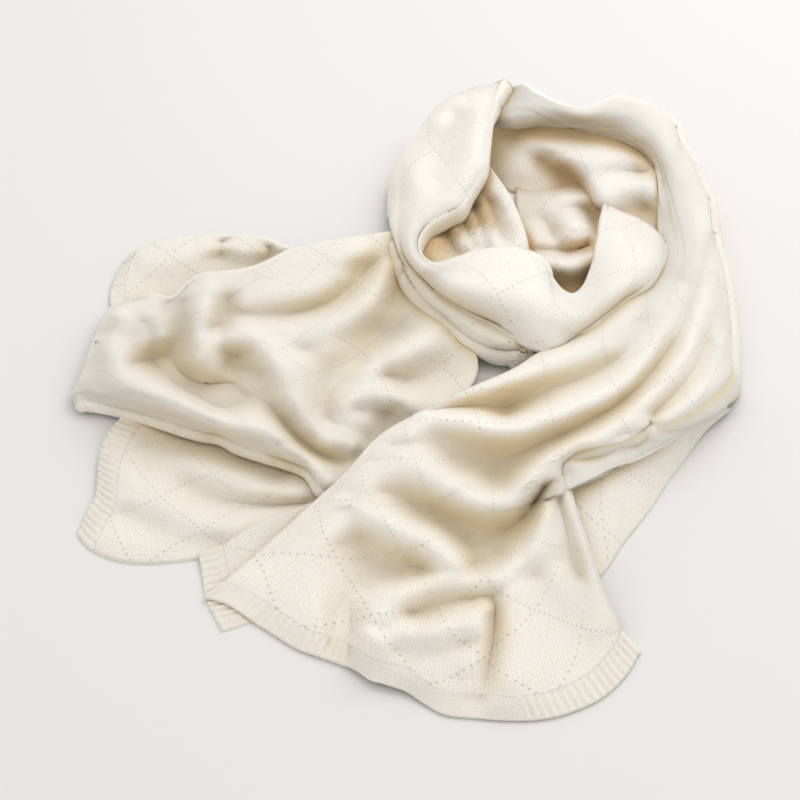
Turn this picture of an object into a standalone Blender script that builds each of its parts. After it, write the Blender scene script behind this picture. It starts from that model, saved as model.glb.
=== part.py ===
"""A cream knit shawl laid on a table: its middle is wound into a swirl, and its two tails run out to the left and
to the front. The part is modelled at real size, +Z up, in millimetres until the last step, which turns them into
metres. The origin is on the table, under the middle of the swirl; +X is to the right, and +Y is away from the viewer.

Each stretch of cloth that shows is one solid wall, and its outline and folds stand in one table. A row of the table
is one edge or one fold line, from end to end, and its points have three columns:
    x, y      where the point shows on the floor grid, seen from EYE
    height    how high the cloth's underside is there
An edge's row starts with its turn: how far the cloth curls outwards there, and how far down. A point with five
columns has its own turn.
"""

import bmesh
import bpy
import numpy as np
from mathutils import Vector
from mathutils.bvhtree import BVHTree

# Driving sizes, in millimetres
WALL = 2.0  # the knit, with the loft of its yarn
SEAM_GAP = 0.3
LAY_GAP = 1.2  # between a wall and the cloth that it lies on
CUTTER_SWELLS = (0.35, 0.8, 1.6, 3.0)  # what a wall clears from the ones under it: more where they still touch
RIB_BAND = 15.0  # the ribbed band at each end, along the cloth
RIB_PITCH = 8.0  # two knit and two purl columns
RIB_RISE = 1.0
EYE = np.array((-179.0, -1742.0, 1625.0))  # where the shawl is seen from
CUT_EDGE = (0.0, 0.0)  # a selvedge or a hem doesn't turn
CORE_CENTRE = (-12.0, 0.0)  # the hidden layers inside the swirl
CORE_RADII = (138.0, 150.0)
CORE_RISE = 66.0
CORE_EDGE = 6.0
CORE_CLEAR = 3.0
CORE_EASE = 28.0
CORE_SIDES, CORE_RINGS = 28, 6
METRES = 0.001
COLOURS = {"knit": (0.89, 0.85, 0.77, 1.0), "rib": (0.87, 0.82, 0.73, 1.0)}

TAIL_LEFT_BACK = {
    "steps": (12, 5),
    "start": (CUT_EDGE, (-471, -28, 4), (-479, -54, 2), (-481, -84, 2), (-475, -112, 1)),
    "end": (CUT_EDGE, (-262, -12, 26), (-268, -34, 31), (-270, -55, 30)),
    "back": ((8, 8), (-471, -28, 4), (-462, -12, 9), (-440, 2, 13), (-420, 10, 16), (-380, 15, 17),
             (-345, 14, 18),
             (-318, 8, 18), (-300, -3, 20), (-262, -12, 26)),
    "front": (CUT_EDGE, (-475, -112, 1), (-430, -130, 1), (-380, -100, 4), (-330, -80, 14), (-270, -55, 30)),
    "folds": (
        ((-452, -22, 13), (-420, -10, 17), (-385, -6, 17), (-350, -5, 18), (-325, -10, 15)),
        ((-368, 8, 12), (-370, -20, 7), (-372, -45, 4)),
        ((-316, -2, 11), (-322, -20, 6), (-326, -35, 4)),
        ((-460, -60, 5), (-420, -50, 8), (-395, -42, 8)),
    ),
}
TAIL_LEFT_LOWER = {
    "steps": (13, 10),
    "ribs": "start",
    "start": (CUT_EDGE, (-438, -215, 9), (-456, -252, 8), (-467, -275, 6), (-472, -301, 4), (-471, -355, 3),
              (-477, -372, 2), (-484, -402, 0)),
    "end": (CUT_EDGE, (-240, -320, 0), (-245, -350, 0), (-250, -385, 0)),
    "back": (CUT_EDGE, (-438, -215, 9), (-400, -225, 4), (-340, -260, 2), (-290, -285, 1), (-240, -320, 0)),
    "front": (CUT_EDGE, (-484, -402, 0), (-473, -417, 0), (-452, -430, 0), (-431, -436, 0), (-402, -436, 0),
              (-367, -431, 0), (-330, -420, 0), (-290, -400, 0), (-250, -385, 0)),
    "folds": (
        ((-402, -314, 7), (-381, -310, 11), (-355, -322, 13), (-331, -337, 13), (-302, -350, 12),
             (-275, -355, 8)),
        ((-425, -288, 3), (-380, -292, 2), (-340, -310, 1), (-300, -330, 0)),
        ((-387, -340, 3), (-372, -360, 2), (-343, -364, 1), (-299, -366, 1), (-269, -362, 1)),
        ((-417, -334, 9), (-402, -360, 11), (-384, -378, 11), (-361, -390, 10), (-340, -390, 8),
             (-313, -380, 7),
         (-275, -373, 5)),
        ((-455, -290, 8), (-450, -340, 9), (-440, -360, 9)),
        ((-443, -372, 3), (-428, -387, 2), (-411, -399, 2)),
        ((-460, -405, 4), (-430, -416, 4), (-390, -416, 3), (-350, -408, 2)),
    ),
}
TAIL_FRONT_UNDER = {
    "steps": (8, 6),
    "ribs": "start",
    "start": (CUT_EDGE, (-368, -424, 3), (-363, -450, 1), (-358, -478, 0), (-341, -516, 0)),
    "end": (CUT_EDGE, (-262, -362, 6), (-255, -400, 2), (-250, -430, 0)),
    "back": (CUT_EDGE, (-368, -424, 3), (-350, -418, 5), (-331, -402, 6), (-302, -384, 7), (-280, -372, 8),
             (-262, -362, 6)),
    "front": (CUT_EDGE, (-341, -516, 0), (-318, -506, 0), (-290, -480, 0), (-250, -430, 0)),
    "folds": (((-345, -440, 3), (-300, -410, 4)),),
}
TAIL_LEFT_TOP = {
    "steps": (22, 15),
    "start": ((7, 7), (-457, -84, 16), (-479, -96, 18), (-488, -122, 20), (-495, -157, 21), (-500, -192, 20),
              (-507, -216, 18), (-500, -236, 15)),
    "end": (CUT_EDGE, (-165, 28, 17), (-150, -40, 15), (-135, -100, 16), (-105, -150, 16), (-100, -190, 14),
            (-130, -250, 14), (-160, -300, 10), (-205, -372, 4)),
    "back": ((8, 10), (-457, -84, 16), (-440, -76, 22), (-418, -80, 24), (-405, -62, 28), (-390, -46, 32),
             (-367, -43, 34), (-349, -40, 34), (-325, -30, 35), (-297, -10, 37), (-269, 0, 37), (-243, 8, 35),
             (-213, 14, 28), (-187, 20, 21), (-165, 28, 17)),
    "front": ((6, 8), (-500, -236, 15), (-482, -242, 15), (-458, -250, 15), (-431, -260, 16),
             (-402, -272, 17),
              (-378, -281, 17), (-355, -287, 17), (-337, -300, 17), (-313, -310, 17), (-290, -319, 16),
              (-269, -331, 15), (-257, -352, 14), (-235, -366, 10), (-205, -372, 4)),
    "folds": (
        # the long ridge along the near edge, and the valley behind it
        ((-472, -108, 36), (-465, -151, 41), (-458, -182, 44), (-441, -203, 46), (-417, -216, 46),
         (-390, -234, 46), (-367, -248, 45), (-343, -258, 44), (-323, -259, 42), (-301, -275, 39),
         (-283, -295, 34), (-266, -317, 27), (-251, -339, 19)),
        ((-486, -145, 31), (-481, -188, 32), (-472, -216, 32), (-443, -229, 33), (-408, -242, 33),
         (-372, -259, 33), (-341, -271, 32), (-314, -282, 30), (-288, -303, 26)),
        ((-447, -177, 16), (-429, -191, 12), (-405, -210, 9), (-381, -228, 9), (-356, -242, 8),
         (-330, -236, 8), (-310, -234, 8), (-296, -261, 8), (-280, -284, 8), (-259, -303, 7),
         (-239, -316, 6)),
        # the loops and ridges of the left part
        ((-453, -96, 32), (-453, -125, 34), (-447, -145, 29)),
        ((-439, -96, 30), (-431, -114, 33), (-422, -137, 29)),
        ((-442, -114, 25), (-436, -131, 24)),
        ((-402, -72, 20), (-402, -111, 13), (-402, -140, 12), (-398, -174, 11)),
        ((-381, -69, 38), (-384, -108, 38), (-385, -145, 36), (-380, -171, 30), (-373, -192, 18)),
        ((-360, -82, 22), (-366, -102, 18), (-368, -125, 16)),
        ((-353, -177, 9), (-346, -196, 6)),
        # the middle ridge, which turns round and comes back to the right
        ((-363, -160, 22), (-360, -144, 30), (-345, -134, 36), (-329, -135, 39), (-315, -154, 39),
         (-304, -187, 36), (-293, -216, 31), (-282, -242, 27), (-269, -267, 24), (-252, -286, 22),
         (-223, -287, 19)),
        ((-344, -163, 13), (-340, -185, 8), (-330, -210, 7)),
        ((-318, -188, 18), (-311, -216, 14)),
        # the fold above the middle
        ((-302, -140, 34), (-281, -128, 33), (-255, -115, 33), (-233, -102, 31), (-216, -85, 29),
         (-204, -71, 26), (-193, -36, 25)),
        ((-332, -114, 19), (-297, -111, 15), (-270, -103, 12), (-248, -91, 10), (-229, -69, 9),
         (-211, -40, 10), (-200, -26, 16)),
        ((-281, -157, 27), (-255, -160, 25), (-235, -138, 22)),
        ((-201, -105, 14), (-216, -131, 11), (-230, -163, 8), (-245, -196, 6), (-257, -227, 6),
         (-250, -254, 9)),
        ((-350, -64, 32), (-300, -52, 34), (-260, -37, 34), (-225, -17, 31), (-200, 0, 24)),
        ((-340, -91, 27), (-290, -88, 25), (-260, -74, 23), (-238, -52, 22)),
        # the folds at the swirl's wall
        ((-182, -36, 15), (-183, -63, 12), (-191, -90, 11)),
        ((-229, -205, 19), (-213, -187, 26), (-195, -171, 30), (-175, -154, 32), (-154, -137, 32),
         (-135, -124, 26)),
        ((-172, -100, 11), (-176, -130, 9), (-195, -148, 8), (-222, -180, 8)),
        ((-190, -192, 17), (-160, -182, 17), (-138, -168, 19)),
        ((-174, -205, 10), (-148, -207, 9), (-125, -195, 9)),
        # the small loop near the front tail
        ((-240, -262, 17), (-236, -235, 24), (-225, -220, 29), (-200, -214, 30), (-183, -223, 29),
         (-171, -240, 20)),
        ((-221, -240, 19), (-212, -254, 16), (-221, -270, 14)),
        ((-189, -244, 8), (-200, -262, 6), (-210, -282, 5)),
    ),
}
TAIL_FRONT = {
    "steps": (18, 36),
    "ribs": "front",
    # the hem, from its left corner to its right one
    "front": (CUT_EDGE, (-360, -478, 2), (-340, -485, 2), (-320, -500, 1), (-297, -517, 1), (-273, -535, 1),
              (-250, -545, 2), (-217, -560, 4), (-205, -570, 6), (-193, -574, 6), (-173, -582, 4),
             (-160, -593, 2),
              (-140, -607, 1), (-113, -611, 1), (-85, -613, 1), (-60, -613, 1), (-33, -607, 1), (0, -590, 1),
              (20, -570, 1), (30, -556, 1), (38, -541, 1)),
    # where the cloth goes under the swirl's left wall
    "back": (CUT_EDGE, (-96, 186, 48), (-94, 210, 54), (-84, 236, 62)),
    # the left selvedge, and then the edge that the swirl's collar covers
    "start": (CUT_EDGE, (-360, -478, 2), (-333, -447, 8), (-300, -407, 14), (-267, -367, 20),
             (-233, -323, 27),
              (-200, -277, 34), (-167, -250, 38), (-133, -227, 42), (-100, -207, 43), (-63, -185, 40),
              (-40, -166, 38), (-10, -140, 37), (20, -115, 38), (50, -80, 40), (80, -60, 43), (96, -30, 48),
              (100, 20, 52), (102, 70, 54), (100, 120, 58), (90, 150, 62), (60, 175, 66), (20, 190, 68),
              (-20, 196, 68), (-50, 192, 65), (-72, 187, 56), (-96, 186, 48)),
    # the right selvedge, the outer crest, and then the swirl's outer side and its back rim
    "end": ((6, 5), (38, -541, 1), (27, -523, 7), (20, -500, 14), (10, -473, 20), (3, -440, 26),
             (-3, -407, 31),
            (-10, -373, 36), (-15, -340, 40), (-15, -318, 42), (-5, -307, 43), (13, -302, 44), (43, -293, 44),
            (67, -281, 44), (93, -268, 43), (120, -252, 41), (150, -227, 38, 8, 20), (165, -200, 36, 10, 30),
            (172, -160, 36, 12, 36), (176, -110, 38, 13, 38), (176, -60, 40, 14, 40), (172, 0, 44, 15, 44),
            (168, 60, 50, 16, 50), (160, 110, 58, 18, 58), (148, 160, 68, 20, 68), (135, 205, 78, 22, 78),
            (112, 236, 88, 24, 88), (92, 247, 91, 26, 91), (75, 251, 92, 26, 92), (50, 240, 91, 26, 91),
            (30, 229, 90, 26, 90), (10, 234, 91, 26, 91), (-15, 251, 93, 26, 93), (-35, 272, 94, 22, 94),
            (-48, 265, 85, 13, 85), (-58, 254, 77, 8, 77), (-84, 236, 62, 4, 62)),
    "folds": (
        # the edge strip at the top and the trough behind pleat 2
        ((-164, -248, 42), (-129, -225, 44), (-78, -198, 47), (-31, -174, 49), (16, -147, 51),
         (51, -116, 53), (73, -91, 55)),
        ((-147, -243, 40), (-124, -240, 36), (-99, -243, 32), (-74, -252, 30), (-49, -240, 31),
         (-20, -221, 33), (13, -202, 36), (39, -181, 40), (58, -157, 45), (75, -132, 49), (89, -105, 52)),
        ((-108, -221, 41), (-68, -210, 40), (-27, -194, 42), (14, -174, 44), (47, -150, 48), (70, -116, 52)),
        # pleat 2
        ((-186, -275, 36), (-164, -259, 43), (-139, -251, 49), (-111, -252, 54), (-80, -263, 57),
         (-45, -255, 58), (-9, -240, 58), (27, -221, 57), (56, -194, 57), (77, -160, 58), (91, -128, 60),
         (104, -99, 62), (115, -72, 65)),
        ((-169, -275, 41), (-139, -270, 43), (-100, -280, 44), (-61, -280, 46), (-20, -259, 48),
         (16, -238, 49)),
        # the hollow between pleat 2 and the zigzag ridge, which runs on as a crease to the right
        ((-161, -282, 38), (-144, -296, 34), (-125, -315, 31), (-103, -333, 30), (-84, -345, 31),
         (-72, -338, 31), (-58, -317, 32), (-40, -294, 34), (-16, -277, 36), (10, -258, 38),
         (36, -236, 41), (61, -209, 44), (80, -181, 46), (97, -157, 48), (110, -134, 51), (124, -99, 54),
         (133, -66, 58)),
        # the zigzag ridge
        ((-206, -307, 27), (-186, -296, 34), (-167, -308, 39), (-145, -329, 43), (-121, -347, 45),
         (-97, -360, 47), (-80, -368, 48), (-66, -362, 48), (-51, -341, 49), (-35, -313, 50),
         (-14, -295, 51), (18, -275, 51), (50, -246, 53), (76, -216, 55), (97, -187, 57), (115, -155, 58),
         (129, -116, 60), (142, -75, 61), (150, -39, 61)),
        # the trough in front of the zigzag ridge
        ((-196, -350, 21), (-177, -367, 17), (-155, -379, 14), (-131, -390, 12), (-105, -400, 12),
         (-81, -396, 14), (-63, -379, 19), (-48, -355, 26), (-36, -333, 34)),
        ((-120, -411, 10), (-105, -423, 10), (-89, -418, 11)),
        # the S-shaped ridge, which ends as the top of the front panel
        ((-244, -364, 19), (-227, -363, 27), (-207, -374, 34), (-186, -388, 38), (-163, -400, 40),
         (-143, -414, 41), (-132, -427, 40), (-129, -441, 38), (-138, -454, 36), (-155, -461, 34),
         (-175, -470, 33), (-192, -480, 32), (-202, -493, 31), (-201, -508, 30), (-184, -514, 30),
         (-156, -512, 31), (-128, -507, 32), (-110, -497, 32), (-100, -489, 30)),
        # the hollow inside the S, and the one in front of it
        ((-215, -403, 13), (-194, -422, 11), (-174, -435, 12), (-156, -444, 17)),
        ((-235, -414, 11), (-227, -444, 6), (-216, -463, 5), (-199, -458, 8), (-177, -452, 12)),
        ((-227, -479, 5), (-222, -500, 4), (-221, -523, 3), (-223, -543, 1)),
        # the ridge behind the front panel
        ((-169, -494, 22), (-154, -482, 25), (-135, -470, 28), (-109, -459, 31), (-85, -450, 34),
         (-68, -438, 36), (-53, -411, 39), (-39, -375, 41)),
        ((-157, -500, 20), (-133, -492, 18), (-110, -482, 16)),
        ((-109, -439, 13), (-96, -435, 13), (-83, -426, 15)),
        # the front panel's face and its right edge
        ((-211, -516, 25), (-213, -534, 20), (-214, -549, 12)),
        ((-183, -536, 21), (-142, -536, 22), (-117, -527, 23)),
        ((-192, -561, 12), (-152, -571, 13), (-123, -569, 13)),
        ((-101, -493, 29), (-102, -519, 25), (-107, -549, 18), (-113, -580, 10)),
        # the gap between the two panels
        ((-91, -473, 16), (-92, -496, 12), (-95, -530, 9), (-100, -564, 5), (-105, -593, 2)),
        # the right panel: its left border, its soft stripes
        ((-14, -311, 45), (-29, -338, 41), (-40, -370, 38), (-54, -410, 36), (-69, -446, 33),
         (-79, -477, 30), (-84, -511, 25), (-88, -542, 19), (-95, -575, 12), (-101, -600, 6)),
        ((-75, -479, 28), (-70, -516, 24), (-63, -549, 17), (-52, -580, 8)),
        ((-53, -450, 25), (-45, -485, 18), (-35, -514, 12), (-6, -527, 7)),
        ((-36, -432, 27), (-26, -467, 20), (-14, -502, 13), (3, -525, 8)),
        ((-25, -358, 34), (-18, -408, 25), (-8, -450, 17)),
        # the flat corner panel and the soft ridge above it
        ((-183, -287, 33), (-198, -317, 30), (-215, -348, 26), (-231, -378, 22), (-247, -405, 18),
         (-267, -434, 14), (-285, -461, 10)),
        ((-225, -320, 26), (-241, -355, 20), (-255, -385, 15), (-273, -414, 12), (-300, -438, 9)),
        ((-244, -432, 12), (-248, -467, 10), (-250, -502, 7), (-249, -530, 3)),
        ((-302, -432, 9), (-297, -467, 8), (-289, -496, 5)),
        ((-328, -450, 8), (-322, -473, 5)),
        # the creases and pleats at the right, which climb the swirl's outer side
        ((47, -282, 42), (69, -259, 43), (89, -229, 45), (108, -201, 47), (124, -168, 49), (137, -128, 50),
         (147, -91, 52), (156, -54, 54)),
        ((43, -298, 47), (63, -275, 49), (91, -259, 50), (120, -246, 50), (143, -224, 48), (156, -188, 47),
         (163, -143, 48)),
        ((81, -254, 46), (105, -227, 49), (127, -192, 51), (143, -150, 52), (156, -102, 54), (165, -54, 55)),
        # the broad right wall and the rim
        ((118, -40, 68), (126, 20, 72), (128, 80, 76), (126, 130, 80), (120, 175, 85), (104, 215, 91)),
        ((150, -40, 60), (152, 40, 62), (146, 110, 68)),
        ((92, 232, 94), (60, 232, 93), (30, 218, 91), (0, 232, 92), (-25, 250, 93)),
        ((98, 170, 76), (70, 196, 78), (30, 208, 78), (-10, 212, 78), (-50, 208, 77)),
    ),
}
TAIL_FRONT_FLANK = {
    "steps": (10, 6),
    "back": (CUT_EDGE, (-24, -320, 30), (-5, -306, 34), (20, -298, 35), (45, -288, 35), (75, -273, 35),
             (105, -257, 33),
             (140, -236, 28)),
    "front": (CUT_EDGE, (-2, -460, 0), (8, -452, 0), (33, -410, 0), (60, -370, 0), (83, -330, 0),
             (100, -303, 1),
              (122, -268, 3), (150, -238, 8)),
    "start": (CUT_EDGE, (-24, -320, 30), (-26, -350, 27), (-18, -400, 18), (-6, -440, 8), (-2, -460, 0)),
    "end": (CUT_EDGE, (140, -236, 28), (150, -238, 8)),
    "folds": (
        ((0, -345, 27), (30, -320, 27), (65, -295, 27), (100, -272, 24)),
        ((12, -400, 12), (40, -360, 12), (75, -315, 12)),
    ),
}
SWIRL_COLLAR = {
    "steps": (32, 6),
    "back": ((4, 12), (-56, 276, 96, 3, 5), (-68, 240, 92, 3, 5), (-75, 200, 88, 3, 5), (-80, 150, 83),
             (-83, 122, 80), (-92, 98, 76),
             (-100, 80, 73), (-112, 50, 68), (-130, 35, 65), (-150, 18, 63), (-157, -2, 63), (-152, -22, 64),
             (-140, -30, 65), (-122, -24, 67), (-100, -12, 69), (-72, -6, 71), (-45, -10, 72), (-28, -18, 71),
             (-20, -35, 69), (-16, -55, 66), (-8, -72, 62), (3, -76, 60), (14, -66, 60), (22, -45, 61),
             (30, -15, 63), (36, 15, 64), (42, 40, 63), (50, 58, 60)),
    "front": ((3, 5), (-95, 264, 78, 20, 78), (-130, 241, 66, 18, 66), (-158, 188, 56, 16, 56),
              (-180, 140, 48, 14, 48), (-189, 90, 41, 13, 38), (-188, 50, 38, 10, 20), (-176, -15, 34),
             (-160, -52, 33), (-140, -82, 33), (-110, -107, 34), (-80, -127, 36),
              (-45, -156, 40), (-20, -162, 42), (0, -147, 44), (20, -128, 46), (40, -106, 49), (60, -86, 51),
              (80, -72, 54), (100, -54, 58), (111, -30, 61), (114, -8, 62)),
    "start": ((27, 86), (-56, 276, 96), (-78, 271, 87), (-95, 264, 78, 24, 78)),
    "end": ((3, 8), (50, 58, 60), (62, 32, 60), (85, 6, 61), (100, -4, 62), (114, -8, 62)),
    "folds": (
        ((-112, 232, 82), (-118, 180, 72), (-128, 130, 63), (-138, 105, 59)),
        ((-140, 212, 70), (-155, 160, 63), (-163, 100, 58)),
        ((-85, 235, 94), (-90, 180, 90), (-98, 130, 83), (-112, 85, 75), (-140, 55, 68), (-165, 20, 61),
         (-170, -10, 58), (-158, -38, 60)),
        ((-140, -45, 64), (-115, -45, 68), (-80, -40, 71), (-45, -50, 72), (-27, -75, 69), (-10, -95, 65),
         (10, -92, 63), (30, -70, 62), (45, -30, 65), (56, 8, 65)),
        ((-130, -75, 50), (-100, -90, 54), (-60, -105, 57), (-30, -120, 58), (0, -125, 56), (30, -100, 57),
         (60, -70, 58), (85, -48, 60), (98, -25, 60)),
    ),
}
SWIRL_OUTER_BAND = {
    "steps": (16, 3),
    "back": (CUT_EDGE, (-173, 10, 29), (-169, -5, 29), (-162, -20, 28), (-150, -48, 28), (-128, -78, 28),
             (-98, -103, 28), (-70, -122, 30), (-40, -146, 33), (-20, -152, 34)),
    "front": ((8, 14), (-189, 5, 26), (-188, -8, 25), (-186, -20, 23), (-180, -48, 22), (-169, -76, 22),
              (-152, -108, 22), (-129, -139, 22), (-106, -163, 22), (-76, -178, 23), (-45, -175, 28),
             (-22, -164, 32)),
    "start": (CUT_EDGE, (-173, 10, 29), (-181, 8, 28), (-189, 5, 26)),
    "end": (CUT_EDGE, (-20, -152, 34), (-22, -164, 32)),
    "folds": (((-176, -30, 30), (-158, -70, 30), (-133, -105, 30), (-108, -130, 30), (-78, -148, 31),
               (-45, -160, 33)),),
}
CRATER_PLEATS = {
    "steps": (16, 6),
    "back": (CUT_EDGE, (-102, 118, 52), (-92, 126, 57), (-80, 124, 62)),
    "front": (CUT_EDGE, (-152, -42, 40), (-120, -36, 40), (-80, -24, 42), (-42, -24, 42)),
    "start": (CUT_EDGE, (-102, 118, 52), (-112, 70, 46), (-140, 42, 42), (-163, 5, 40), (-152, -42, 40)),
    "end": ((3, 10), (-80, 124, 62), (-64, 90, 61), (-54, 60, 57), (-47, 30, 52), (-43, 0, 48),
             (-42, -24, 42)),
    "folds": (
        ((-76, 108, 63), (-66, 80, 61), (-58, 50, 57), (-52, 20, 52), (-49, -10, 48)),
        ((-132, 30, 36), (-124, 10, 35), (-114, -14, 34)),
        ((-121, 32, 44), (-114, 12, 45), (-106, -10, 45)),
        ((-110, 40, 38), (-104, 20, 37), (-98, -4, 36)),
        ((-104, 45, 45), (-98, 22, 46), (-92, -5, 46)),
        ((-97, 60, 40), (-92, 28, 39), (-86, -5, 38)),
        ((-88, 80, 52), (-84, 45, 49), (-79, -2, 47)),
        ((-84, 70, 47), (-78, 40, 43), (-72, 5, 41)),
        ((-150, 0, 42), (-142, 10, 44), (-135, -15, 43)),
    ),
}
CRATER_CORE = {
    "steps": (11, 12),
    "back": (CUT_EDGE, (-52, 96, 30), (-20, 98, 28), (20, 98, 28), (44, 92, 34)),
    "front": (CUT_EDGE, (-46, -60, 34), (-20, -84, 28), (10, -92, 26), (34, -70, 30)),
    "start": (CUT_EDGE, (-52, 96, 30), (-52, 50, 32), (-52, 0, 34), (-46, -60, 34)),
    "end": (CUT_EDGE, (44, 92, 34), (44, 50, 38), (42, 0, 44), (34, -70, 30)),
    "folds": (
        # the small lobe at the left, and the knob beside it
        ((-35, 0, 42), (-30, 16, 44), (-23, 11, 43), (-19, -2, 41)),
        ((-4, 6, 46), (0, 25, 51), (9, 36, 53), (19, 30, 53), (23, 14, 50), (14, 3, 48)),
        ((7, 22, 54), (15, 19, 53)),
        # the dark hole between them, and the crease round the knob
        ((-20, 36, 29), (-18, 24, 29), (-17, 13, 32)),
        ((-10, 35, 38), (-2, 49, 38), (12, 57, 36), (23, 54, 32), (32, 40, 31), (34, 19, 38)),
        ((-41, -6, 37), (-29, -11, 37), (-16, -12, 36), (-2, -17, 37), (13, -11, 38), (26, -2, 40)),
        # the band behind the knob, and the floor behind it
        ((-17, 51, 36), (-7, 64, 41), (7, 73, 43), (23, 80, 44), (37, 75, 43)),
        ((-38, 60, 30), (-30, 91, 29), (0, 95, 29), (25, 98, 30)),
        # the roll in front of the knob, and the hollow in front of that
        ((-24, -22, 50), (-9, -28, 55), (7, -28, 56), (21, -19, 56), (31, 2, 55), (38, 30, 53)),
        ((-14, -43, 44), (1, -46, 44), (16, -36, 46)),
        ((-10, -64, 29), (-1, -72, 27), (9, -63, 28), (20, -48, 33)),
    ),
}
CRATER_BACK = {
    "steps": (15, 9),
    "back": (CUT_EDGE, (-84, 192, 60), (-50, 204, 64), (-20, 208, 64), (20, 204, 64), (60, 192, 63),
             (92, 172, 61),
             (112, 140, 58), (122, 110, 56)),
    "front": (CUT_EDGE, (-84, 110, 34), (-55, 84, 27), (-20, 80, 26), (15, 82, 26), (34, 64, 34),
             (45, 50, 42),
              (62, 26, 42), (85, 0, 42), (100, -10, 44), (114, -12, 46)),
    "start": (CUT_EDGE, (-84, 192, 60), (-86, 150, 46), (-84, 110, 34)),
    "end": (CUT_EDGE, (122, 110, 56), (122, 50, 54), (114, -12, 46)),
    "folds": (
        ((-38, 174, 57), (-5, 156, 61), (28, 157, 65), (60, 150, 67), (85, 135, 67), (102, 116, 65)),
        ((0, 141, 58), (18, 127, 59), (28, 113, 58), (33, 92, 56), (37, 68, 54)),
        ((-8, 132, 42), (8, 120, 40), (20, 102, 37), (26, 76, 35)),
        ((-62, 172, 51), (-30, 186, 56), (20, 182, 59), (60, 173, 59), (90, 150, 57), (106, 125, 55)),
        ((50, 66, 57), (62, 84, 62), (80, 98, 65), (95, 102, 66), (106, 86, 64), (113, 55, 60)),
        ((60, 50, 47), (80, 35, 45), (98, 25, 46), (92, 65, 49), (75, 62, 48)),
        ((45, 110, 61), (70, 118, 60), (95, 118, 61)),
        ((-72, 140, 44), (-60, 112, 38), (-42, 96, 31)),
        ((-45, 152, 50), (-38, 125, 42), (-30, 100, 33)),
        ((-20, 140, 42), (-8, 112, 34), (5, 95, 29)),
    ),
}
# from the lowest to the highest; each clears the ones before it
STRETCHES = {
    "tail_left_back": TAIL_LEFT_BACK,
    "tail_left_lower": TAIL_LEFT_LOWER,
    "tail_front_under": TAIL_FRONT_UNDER,
    "tail_left_top": TAIL_LEFT_TOP,
    "tail_front_flank": TAIL_FRONT_FLANK,
    "swirl_outer_band": SWIRL_OUTER_BAND,
    "crater_core": CRATER_CORE,
    "crater_back": CRATER_BACK,
    "crater_pleats": CRATER_PLEATS,
    "tail_front": TAIL_FRONT,
    "swirl_collar": SWIRL_COLLAR,
}
SIDES = ("back", "end", "front", "start")
TURN_STEPS = 2
EASINGS = 1


# ---------------------------------------------------------------- curves and surfaces
def smooth(points, count):
    """Evenly spaced points on a smooth curve through the given ones (a centripetal Catmull-Rom spline)."""
    points = np.asarray(points, float)
    steps = np.sqrt(np.linalg.norm(np.diff(points, axis=0), axis=1)) + 1e-9
    knots = np.concatenate([[0.0], np.cumsum(steps)])
    if len(points) > 2:
        slopes = np.gradient(points, knots, axis=0)
    else:
        slopes = np.repeat(np.diff(points, axis=0) / steps[:, None], 2, axis=0)
    fine = np.linspace(0.0, knots[-1], 40 * len(points))
    i = np.clip(np.searchsorted(knots, fine, side="right") - 1, 0, len(knots) - 2)
    span = (knots[i + 1] - knots[i])[:, None]
    t = (fine - knots[i])[:, None] / span
    curve = (
        points[i] * (2 * t**3 - 3 * t**2 + 1)
        + slopes[i] * span * (t**3 - 2 * t**2 + t)
        + points[i + 1] * (3 * t**2 - 2 * t**3)
        + slopes[i + 1] * span * (t**3 - t**2)
    )
    along = np.concatenate([[0.0], np.cumsum(np.linalg.norm(np.diff(curve, axis=0), axis=1))])
    return np.stack([np.interp(np.linspace(0, along[-1], count), along, c) for c in curve.T], axis=1)


def on_sight_line(points):
    """The true places of points (x, y, height) that show at x, y on the floor grid, seen from EYE."""
    floor = points * (1, 1, 0)
    return floor + (EYE - floor) * (points[..., 2:3] / EYE[2])


def edge_curves(table):
    """The four edges of a stretch as fine curves (x, y, height, curl out, curl down), moved in by their turn, so
    that the turned edge shows where the table says."""
    corners = []
    curves = {}
    for side in SIDES:
        turn, *points = table[side]
        curves[side] = smooth([point if len(point) == 5 else (*point, *turn) for point in points], 240)
    if np.linalg.norm(curves["start"][0, :2] - curves["back"][0, :2]) > 1:
        curves["start"] = curves["start"][::-1]
    if np.linalg.norm(curves["end"][0, :2] - curves["back"][-1, :2]) > 1:
        curves["end"] = curves["end"][::-1]
    loop = np.concatenate([curves["back"], curves["end"], curves["front"][::-1], curves["start"][::-1]])
    area = np.sum(loop[:, 0] * np.roll(loop[:, 1], -1) - loop[:, 1] * np.roll(loop[:, 0], -1))
    for side in SIDES:
        curve = curves[side]
        along = np.gradient(curve[:, :2], axis=0)
        along /= np.linalg.norm(along, axis=1)[:, None] + 1e-9
        normal = np.column_stack([along[:, 1], -along[:, 0]]) * np.sign(area)
        if side in ("front", "start"):
            normal = -normal
        out, fall = curve[:, 3], curve[:, 4] * normal[:, 1]
        moved = curve.copy()
        moved[:, :2] -= normal * np.where(fall > 0, np.hypot(out, fall) - fall, out)[:, None]
        moved[:, 1] += np.maximum(-fall, 0)
        curves[side] = moved
    for a, i, b, j in (("back", 0, "start", 0), ("back", -1, "end", 0), ("front", 0, "start", -1), ("front", -1, "end", -1)):
        corners.append((a, i, b, j, (curves[a][i] + curves[b][j]) / 2))
    for a, i, b, j, middle in corners:
        for side, end in ((a, i), (b, j)):
            fade = np.clip(1 - np.linspace(0, 1, 240) * 8, 0, 1)[:, None] ** 2
            fade = fade if end == 0 else fade[::-1]
            curves[side] = curves[side] + fade * (middle - curves[side][end])
    return curves


def sample(curve, places):
    fine = np.linspace(0, 1, len(curve))
    return np.stack([np.interp(places, fine, c) for c in curve.T], axis=-1)


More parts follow.
